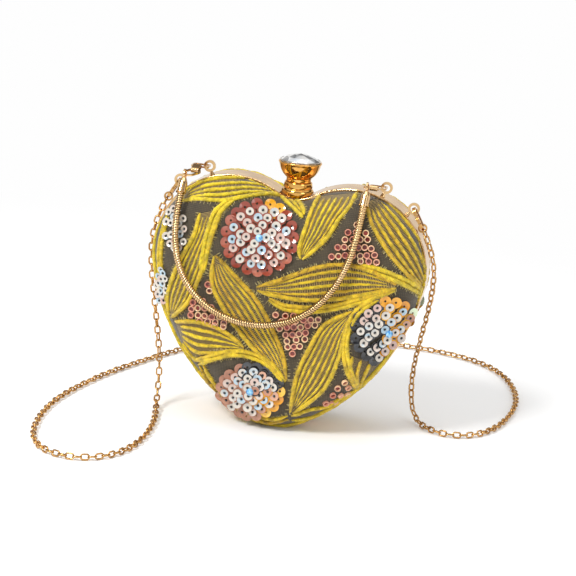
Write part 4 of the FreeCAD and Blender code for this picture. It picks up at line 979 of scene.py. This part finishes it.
class PURSE_OT_chain(bpy.types.Operator):
    """Shoulder chain: oval cable links from clasp to clasp along the route"""
    bl_idname = "purse.chain"
    bl_label = "Shoulder chain"

    def execute(self, context):
        trim = sizes()
        points = spline_points("chain_line", CHAIN_ROUTE)
        wire = trim.link_wire / 2
        bend = trim.link_width / 2 - wire
        stretch = (trim.link_length - trim.link_width) / 2
        link = bmesh.new()
        turn = Matrix.Rotation(math.pi / LINK_STEPS, 4, "Y") @ Matrix.Translation((bend, 0, 0))
        ring = bmesh.ops.create_circle(link, segments=6, radius=wire, matrix=turn)["verts"]
        bmesh.ops.spin(link, geom=ring + edges_of(ring), cent=(0, 0, 0), axis=(0, 1, 0), angle=2 * math.pi,
                       steps=LINK_STEPS, use_merge=True)
        bmesh.ops.remove_doubles(link, verts=link.verts, dist=MERGE_GAP)
        for vert in link.verts:
            vert.co.z += stretch if vert.co.z > 0 else -stretch
        bmesh.ops.recalc_face_normals(link, faces=link.faces)
        mesh = kept(link)
        bm = bmesh.new()
        steps = paced(points, trim.link_length - LINK_OVERLAP * trim.link_wire)[0]
        side = Vector((0.3, -1.0, 0.2)).normalized()
        for count, (place, along) in enumerate(steps):
            third = along.normalized()
            side = (side - third * side.dot(third)).normalized()
            roll = math.radians(LINK_ROLL + 90 * (count % 2) + rng.uniform(-LINK_SLACK, LINK_SLACK))
            turn = Matrix.Translation(place) @ turned_to(third, side) @ Matrix.Rotation(roll, 4, "Z")
            join(bm, mesh, turn)
        bpy.data.meshes.remove(mesh)
        metal = plated_metal("chain_gold_plate", scaled(colours().champagne, 0.92, 0.86, 0.74), 0.2,
                             (0.86, 0.82, 0.74))
        piece = keep_mesh(bm, "shoulder_chain", "front_half", [metal],
                          replaced=("chain_left", "chain_back", "chain_right"))
        for part in ("chain_clasp_", "clasp_lever_", "chain_ring_"):
            for end in ENDS:
                paint(part + end, metal)
        return {"FINISHED"}


class PURSE_OT_handle(bpy.types.Operator):
    """Snake-chain handle: slanting ribs along the route"""
    bl_idname = "purse.handle"
    bl_label = "Snake-chain handle"

    def execute(self, context):
        points = spline_points("handle_line", HANDLE_ROUTE)
        steps = paced(points, sizes().rib / len(RIB_WIDTHS))[0]
        bm = bmesh.new()
        last = None
        outward = Vector((0, -1, 0))
        for count, (place, along) in enumerate(steps):
            part = count % len(RIB_WIDTHS)
            slant = Matrix.Rotation(RIB_SLANT, 3, outward) @ along
            ends = count in (0, len(steps) - 1)
            turn = Matrix.Translation(place) @ turned_to(along if ends else slant, outward)
            last, band = add_ring(bm, last, turn, RIB_WIDTHS[part] * MM / 2, RIB_SIDES, ends)[1:]
            # Groove faces take the darker plate: painted shade in the grooves between the ribs.
            for face in band:
                face.material_index = 1 if part == len(RIB_WIDTHS) - 1 else 0
        bmesh.ops.recalc_face_normals(bm, faces=bm.faces)
        champagne = tuple(colours().champagne)
        metal = plated_metal("champagne_plate", champagne, 0.16, (0.9, 0.87, 0.84))
        # Plate at half the champagne colour: painted shade for the grooves between the ribs.
        groove = plated_metal("groove_painted_shade", scaled(champagne, 0.5), 0.4, (0.6, 0.55, 0.5))
        keep_mesh(bm, "snake_chain_ribs", "handle_loop", [metal, groove],
                  replaced=("snake_chain",))
        return {"FINISHED"}


class PURSE_OT_covers(bpy.types.Operator):
    """Ground cloth over both shells, and satin lining inside them"""
    bl_idname = "purse.covers"
    bl_label = "Cloth and lining"

    def execute(self, context):
        layers = (("cloth", 0.0, ground_cloth(), 12), ("lining", LINING_DEPTH, satin_lining(), 8))
        for half, side in (("front", -1), ("back", 1)):
            for layer, lost, material, steps in layers:
                bm = bmesh.new()
                dome(bm, lost, side, steps)
                bmesh.ops.recalc_face_normals(bm, faces=bm.faces)
                area = sum(face.calc_area() for face in bm.faces)
                outside = layer == "cloth"
                piece = keep_mesh(bm, half + "_" + layer, half + "_half", [material],
                                  replaced=(half + "_cover",) if outside else ())
                thick = piece.modifiers.new("thickness", "SOLIDIFY")
                thick.thickness = CLOTH_THICKNESS * MM
                thick.offset = -1.0
        return {"FINISHED"}


class PURSE_OT_leaves(bpy.types.Operator):
    """Leaves of couched cord: filling, outlines, inner cords and a comb of fibres"""
    bl_idname = "purse.leaves"
    bl_label = "Leaves"

    def execute(self, context):
        tree = cover_tree()
        cords, fills = layered()[0], layered()[0]
        for first_edge, second_edge, inner, tone in LEAVES:
            lay_leaf(cords, fills, tree, (first_edge, second_edge), inner, tone)
        ring = bmesh.new()
        heart_loop(ring, RIM_INSET, 0.0, -1)
        left_top, right_top = BORDER_TOPS
        outline = [vert.co.copy() for vert in ring.verts
                   if vert.co.z < (left_top if vert.co.x < 0 else right_top)]
        outline.sort(key=lambda spot: math.atan2(spot.x, BORDER_MIDDLE - spot.z))
        ring.free()
        for depth in BORDER_DEPTHS:
            border = [tree.find_nearest(spot - Vector((0, depth, 0)))[0] for spot in outline]
            lay_cord(cords, tree, border, sizes().cord, 0.3 + rng.uniform(-0.1, 0.1))
        # Rayon fibre: pale loose ends of the cords
        fibre = mottled("rayon_fibre", "#b59c4c", "#e6d895", 0.6, 3.33 * MM)
        both_halves(fills, "leaf_filling", [couching()])
        both_halves(cords, "leaf_cords", [cord_thread(), fibre])
        return {"FINISHED"}


class PURSE_OT_flowers(bpy.types.Operator):
    """Sequin flowers: overlapping rings of cupped sequins with dark seed beads, petals and a blue stone"""
    bl_idname = "purse.flowers"
    bl_label = "Sequin flowers"

    def execute(self, context):
        tree = cover_tree()
        film = kept(turned_profile(SEQUIN_PROFILE, sizes().sequin, 16))
        seed = kept(turned_profile(SEED_PROFILE, MM, 8))
        stone = kept(turned_profile(STONE_PROFILE, MM, 8))
        slots = {kind: number for number, kind in enumerate(FILMS)}
        seeds, stones = len(FILMS), len(FILMS) + 1
        bm = layered()[0]
        for middle, wide, high, kind in FLOWERS:
            narrow = kind == "pearl"
            for level, (share, total) in enumerate(NARROW_RINGS if narrow else ROUND_RINGS):
                for count in range(total):
                    turn = 2 * math.pi * (count + 0.5 * level + rng.uniform(-0.16, 0.16)) / total
                    x, y = wide * share * math.cos(turn), -high * share * math.sin(turn)
                    lift = FIRST_LIFT + RING_LIFT * level
                    # No sequin is sewn on the wall beside the frame
                    if on_cover(tree, (middle[0] + x, middle[1] + y)).y > -SEQUIN_DEPTH:
                        continue
                    if not narrow:
                        turned = sewn(tree, middle, (x, y), rng.uniform(3, 12), lift, 0.0)
                        join(bm, film, turned @ Matrix.Scale(PETAL_SHARE, 4), rng.uniform(0, 0.55),
                             slots[petal_film(kind, turn, share)])
                    if level or narrow:
                        slot = slots["pearl"]
                        if kind == "amber" and x > 0 and rng.random() < 0.25:
                            slot = slots["peach"]
                        if kind == "peach" and rng.random() < 0.3:
                            slot = slots["peach" if rng.random() < 0.8 else "amber"]
                        turned = sewn(tree, middle, (x, y), rng.uniform(8, 24), lift + PETAL_LIFT,
                                      rng.uniform(-0.3, 0.9) * MM)
                        scale = rng.uniform(0.9, 1.06) * (0.85 if narrow else 1.0)
                        join(bm, film, turned @ Matrix.Scale(scale, 4), rng.uniform(0, 0.6), slot)
                        join(bm, seed, turned, 0.0, seeds)
            if not narrow:
                join(bm, stone, sewn(tree, middle, (0, 0), 0, STONE_LIFT, 0.0), 0.5, stones)
        for mesh in (film, seed, stone):
            bpy.data.meshes.remove(mesh)
        materials = [lustred(kind + "_film", *film) for kind, film in FILMS.items()]
        materials += [mottled("black_seed_glass", "#07070a", "#16171c", 0.12, 1.11 * MM),
                      mottled("blue_cut_glass", "#2f86c8", "#a5d8f4", 0.06, 1.43 * MM)]
        both_halves(bm, "sequin_flowers", materials)
        return {"FINISHED"}


class PURSE_OT_beads(bpy.types.Operator):
    """Triangles of short tube beads sewn on end"""
    bl_idname = "purse.beads"
    bl_label = "Tube beads"

    def execute(self, context):
        tree = cover_tree()
        size = sizes().bead
        rim = kept(turned_profile([(size * share, height * MM) for share, height in BEAD_PROFILE], 1.0, 12))
        floor = [(NEAR_AXIS * MM, BEAD_FLOOR), (size * BEAD_HOLE_SHARE, BEAD_FLOOR)]
        hole = kept(turned_profile(floor, 1.0, 8))
        bm = layered()[0]
        for start, end in BEAD_ROWS:
            length = (on_cover(tree, start) - on_cover(tree, end)).length
            total = round(length / (BEAD_PITCH_SHARE * size))
            for count in range(total + 1):
                share = count / total if total else 0.0
                spot = [first + (last - first) * share + rng.uniform(-2, 2)
                        for first, last in zip(start, end)]
                foot, normal = tree.find_nearest(on_cover(tree, spot))[:2]
                lean = (normal + Vector([rng.uniform(-0.18, 0.18) for axis in range(3)])).normalized()
                turn = Matrix.Translation(foot) @ turned_to(lean, normal.orthogonal())
                join(bm, rim, turn, rng.uniform(0, 1), 0)
                join(bm, hole, turn, rng.uniform(0, 1), 1)
        for mesh in (rim, hole):
            bpy.data.meshes.remove(mesh)
        # Lustred glass tubes, rose copper outside and dark red within
        rose = [(0.0, "#c4765e"), (0.5, "#dd9a80"), (1.0, "#ecc79a")]
        materials = [lustred("rose_lustre_glass", rose, 0.3),
                     mottled("dark_red_glass", "#4a0f0a", "#8a2415", 0.35, 2.5 * MM)]
        both_halves(bm, "tube_beads", materials)
        return {"FINISHED"}


class PURSE_OT_crystal(bpy.types.Operator):
    """Cut crystal of the push knob, with kite and star facets"""
    bl_idname = "purse.crystal"
    bl_label = "Knob crystal"

    def execute(self, context):
        low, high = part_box("knob_crystal")
        middle = (low + high) / 2
        girdle = (high.x - low.x) / 2
        tall = high.z - low.z
        bm = layered()[0]
        shade = bm.verts.layers.float["tone"]
        last = None
        for count, (radius, height, half) in enumerate(CRYSTAL_RINGS):
            turn = Matrix.Translation((middle.x, middle.y, low.z + tall * height))
            turn = turn @ Matrix.Rotation(math.pi / CRYSTAL_SIDES * half, 4, "Z")
            ends = count in (0, len(CRYSTAL_RINGS) - 1)
            last = add_ring(bm, last, turn, girdle * radius, CRYSTAL_SIDES, ends)[1]
        bmesh.ops.triangulate(bm, faces=[face for face in bm.faces if len(face.verts) == 4])
        bmesh.ops.recalc_face_normals(bm, faces=bm.faces)
        for vert in bm.verts:
            vert[shade] = rng.random()
        keep_mesh(bm, "crystal_cut", "knob", [foiled_crystal()], False, ("knob_crystal",))
        # Rhodium-plated rim: bright silver
        turns = [math.pi * count / 4 for count in range(8)]
        circle = [(girdle + RIM_WIRE * math.cos(turn), RIM_WIRE * math.sin(turn)) for turn in turns]
        rim = turned_profile(circle, 1.0, 48, True)
        bmesh.ops.translate(rim, vec=(middle.x, middle.y, low.z + tall * GIRDLE_SHARE), verts=rim.verts)
        silver = plated_metal("rhodium_plate", (0.86, 0.85, 0.83), 0.12, (0.9, 0.9, 0.9))
        keep_mesh(rim, "crystal_rim", "knob", [silver])
        return {"FINISHED"}


class PURSE_OT_goblet(bpy.types.Operator):
    """Push knob's goblet, spun with a full bowl and a rolled lip"""
    bl_idname = "purse.goblet"
    bl_label = "Knob goblet"

    def execute(self, context):
        low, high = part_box("knob_cup")
        middle = (low + high) / 2
        bm = turned_profile(GOBLET_PROFILE, MM, 64)
        bmesh.ops.translate(bm, vec=(middle.x, middle.y, high.z), verts=bm.verts)
        amber = plated_metal("amber_gold_plate", tuple(colours().amber), 0.1, (0.92, 0.87, 0.8))
        keep_mesh(bm, "goblet", "knob", [amber], replaced=("knob_cup",))
        return {"FINISHED"}


class PURSE_OT_collar(bpy.types.Operator):
    """Bell-shaped collar in the cleft, cut to the frames it stands on"""
    bl_idname = "purse.collar"
    bl_label = "Knob collar"

    def execute(self, context):
        low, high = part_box("clasp_collar")
        middle = (low + high) / 2
        bm = turned_profile(COLLAR_PROFILE, MM, 64, True)
        bmesh.ops.translate(bm, vec=(middle.x, middle.y, high.z), verts=bm.verts)
        hollow = CLEFT_RADIUS - COLLAR_SUNK
        for vert in bm.verts:
            floor = LOBE.z + cleft_rise() - math.sqrt(hollow ** 2 - (vert.co.x / MM) ** 2)
            vert.co.z = max(vert.co.z, floor * MM)
        keep_mesh(bm, "collar", "front_half", [bpy.data.materials["amber_gold_plate"]],
                  replaced=("clasp_collar",))
        return {"FINISHED"}


class PURSE_OT_spring(bpy.types.Operator):
    """Coil spring under the knob"""
    bl_idname = "purse.spring"
    bl_label = "Knob spring"

    def execute(self, context):
        low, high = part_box("knob_spring")
        middle = (low + high) / 2
        wire = SPRING_WIRE
        coil = (high.x - low.x) / 2 - wire
        rise = high.z - low.z - 2 * wire
        bm = bmesh.new()
        place = Matrix.Translation((middle.x + coil, middle.y, low.z + wire))
        place = place @ Matrix.Rotation(math.pi / 2, 4, "X")
        bmesh.ops.create_circle(bm, cap_ends=True, segments=8, radius=wire, matrix=place)
        steps = 24 * SPRING_TURNS
        bmesh.ops.spin(bm, geom=list(bm.faces), cent=(middle.x, middle.y, low.z), axis=(0, 0, 1),
                       angle=2 * math.pi * SPRING_TURNS, steps=steps, dvec=(0, 0, rise / steps))
        bmesh.ops.recalc_face_normals(bm, faces=bm.faces)
        piece = keep_mesh(bm, "spring_coil", "front_half", [spring_steel()],
                          replaced=("knob_spring",))
        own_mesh(piece)
        return {"FINISHED"}


class PURSE_OT_finishes(bpy.types.Operator):
    """Finishes of the parts that show as they were built"""
    bl_idname = "purse.finishes"
    bl_label = "Metal finishes"

    def execute(self, context):
        champagne = bpy.data.materials["champagne_plate"]
        steel, shell = bpy.data.materials["drawn_steel"], moulded_shell()
        paired = ("handle_eyelet_", "chain_eyelet_", "clip_wire_", "clip_tab_", "oval_ring_", "handle_cap_")
        groups = ((champagne, ["front_frame", "back_frame", "front_hinge_leaf", "back_hinge_leaf"]
                   + [part + end for part in paired for end in ENDS]),
                  (steel, ["hinge_pin", "knob_stem", "latch_bar", "clasp_bridge", "catch_hook"]),
                  (shell, ["front_shell", "back_shell"]))
        for material, names in groups:
            for name in names:
                paint(name, material)
        return {"FINISHED"}


class PURSE_PT_panel(bpy.types.Panel):
    """The purse's settings and the steps that make it"""
    bl_label = "Purse"
    bl_idname = "PURSE_PT_panel"
    bl_space_type = "VIEW_3D"
    bl_region_type = "UI"
    bl_category = "Purse"

    def draw(self, context):
        layout = self.layout
        for group in (colours(), sizes()):
            for name in group.bl_rna.properties.keys():
                if name not in ("rna_type", "name"):
                    layout.prop(group, name)
        for step in STEPS:
            layout.operator(step.bl_idname)


STEPS = (PURSE_OT_stage, PURSE_OT_chain, PURSE_OT_handle, PURSE_OT_covers, PURSE_OT_leaves, PURSE_OT_flowers,
         PURSE_OT_beads, PURSE_OT_crystal, PURSE_OT_goblet, PURSE_OT_collar,
         PURSE_OT_spring, PURSE_OT_finishes)
CLASSES = (PurseColours, PurseSizes) + STEPS + (PURSE_PT_panel,)


def register():
    """Register the classes and the scene's settings."""
    for kind in CLASSES:
        bpy.utils.register_class(kind)
    bpy.types.Scene.purse_colours = PointerProperty(type=PurseColours)
    bpy.types.Scene.purse_sizes = PointerProperty(type=PurseSizes)


def unregister():
    """Take the settings and the classes away again."""
    del bpy.types.Scene.purse_sizes
    del bpy.types.Scene.purse_colours
    for kind in reversed(CLASSES):
        bpy.utils.unregister_class(kind)


def main():
    """Make the purse step by step, and keep its sizes."""
    register()
    bpy.ops.purse.stage()
    bpy.ops.purse.chain()
    bpy.ops.purse.handle()
    bpy.ops.purse.covers()
    bpy.ops.purse.leaves()
    bpy.ops.purse.flowers()
    bpy.ops.purse.beads()
    bpy.ops.purse.crystal()
    bpy.ops.purse.goblet()
    bpy.ops.purse.collar()
    bpy.ops.purse.spring()
    bpy.ops.purse.finishes()


if __name__ == "__main__":
    main()
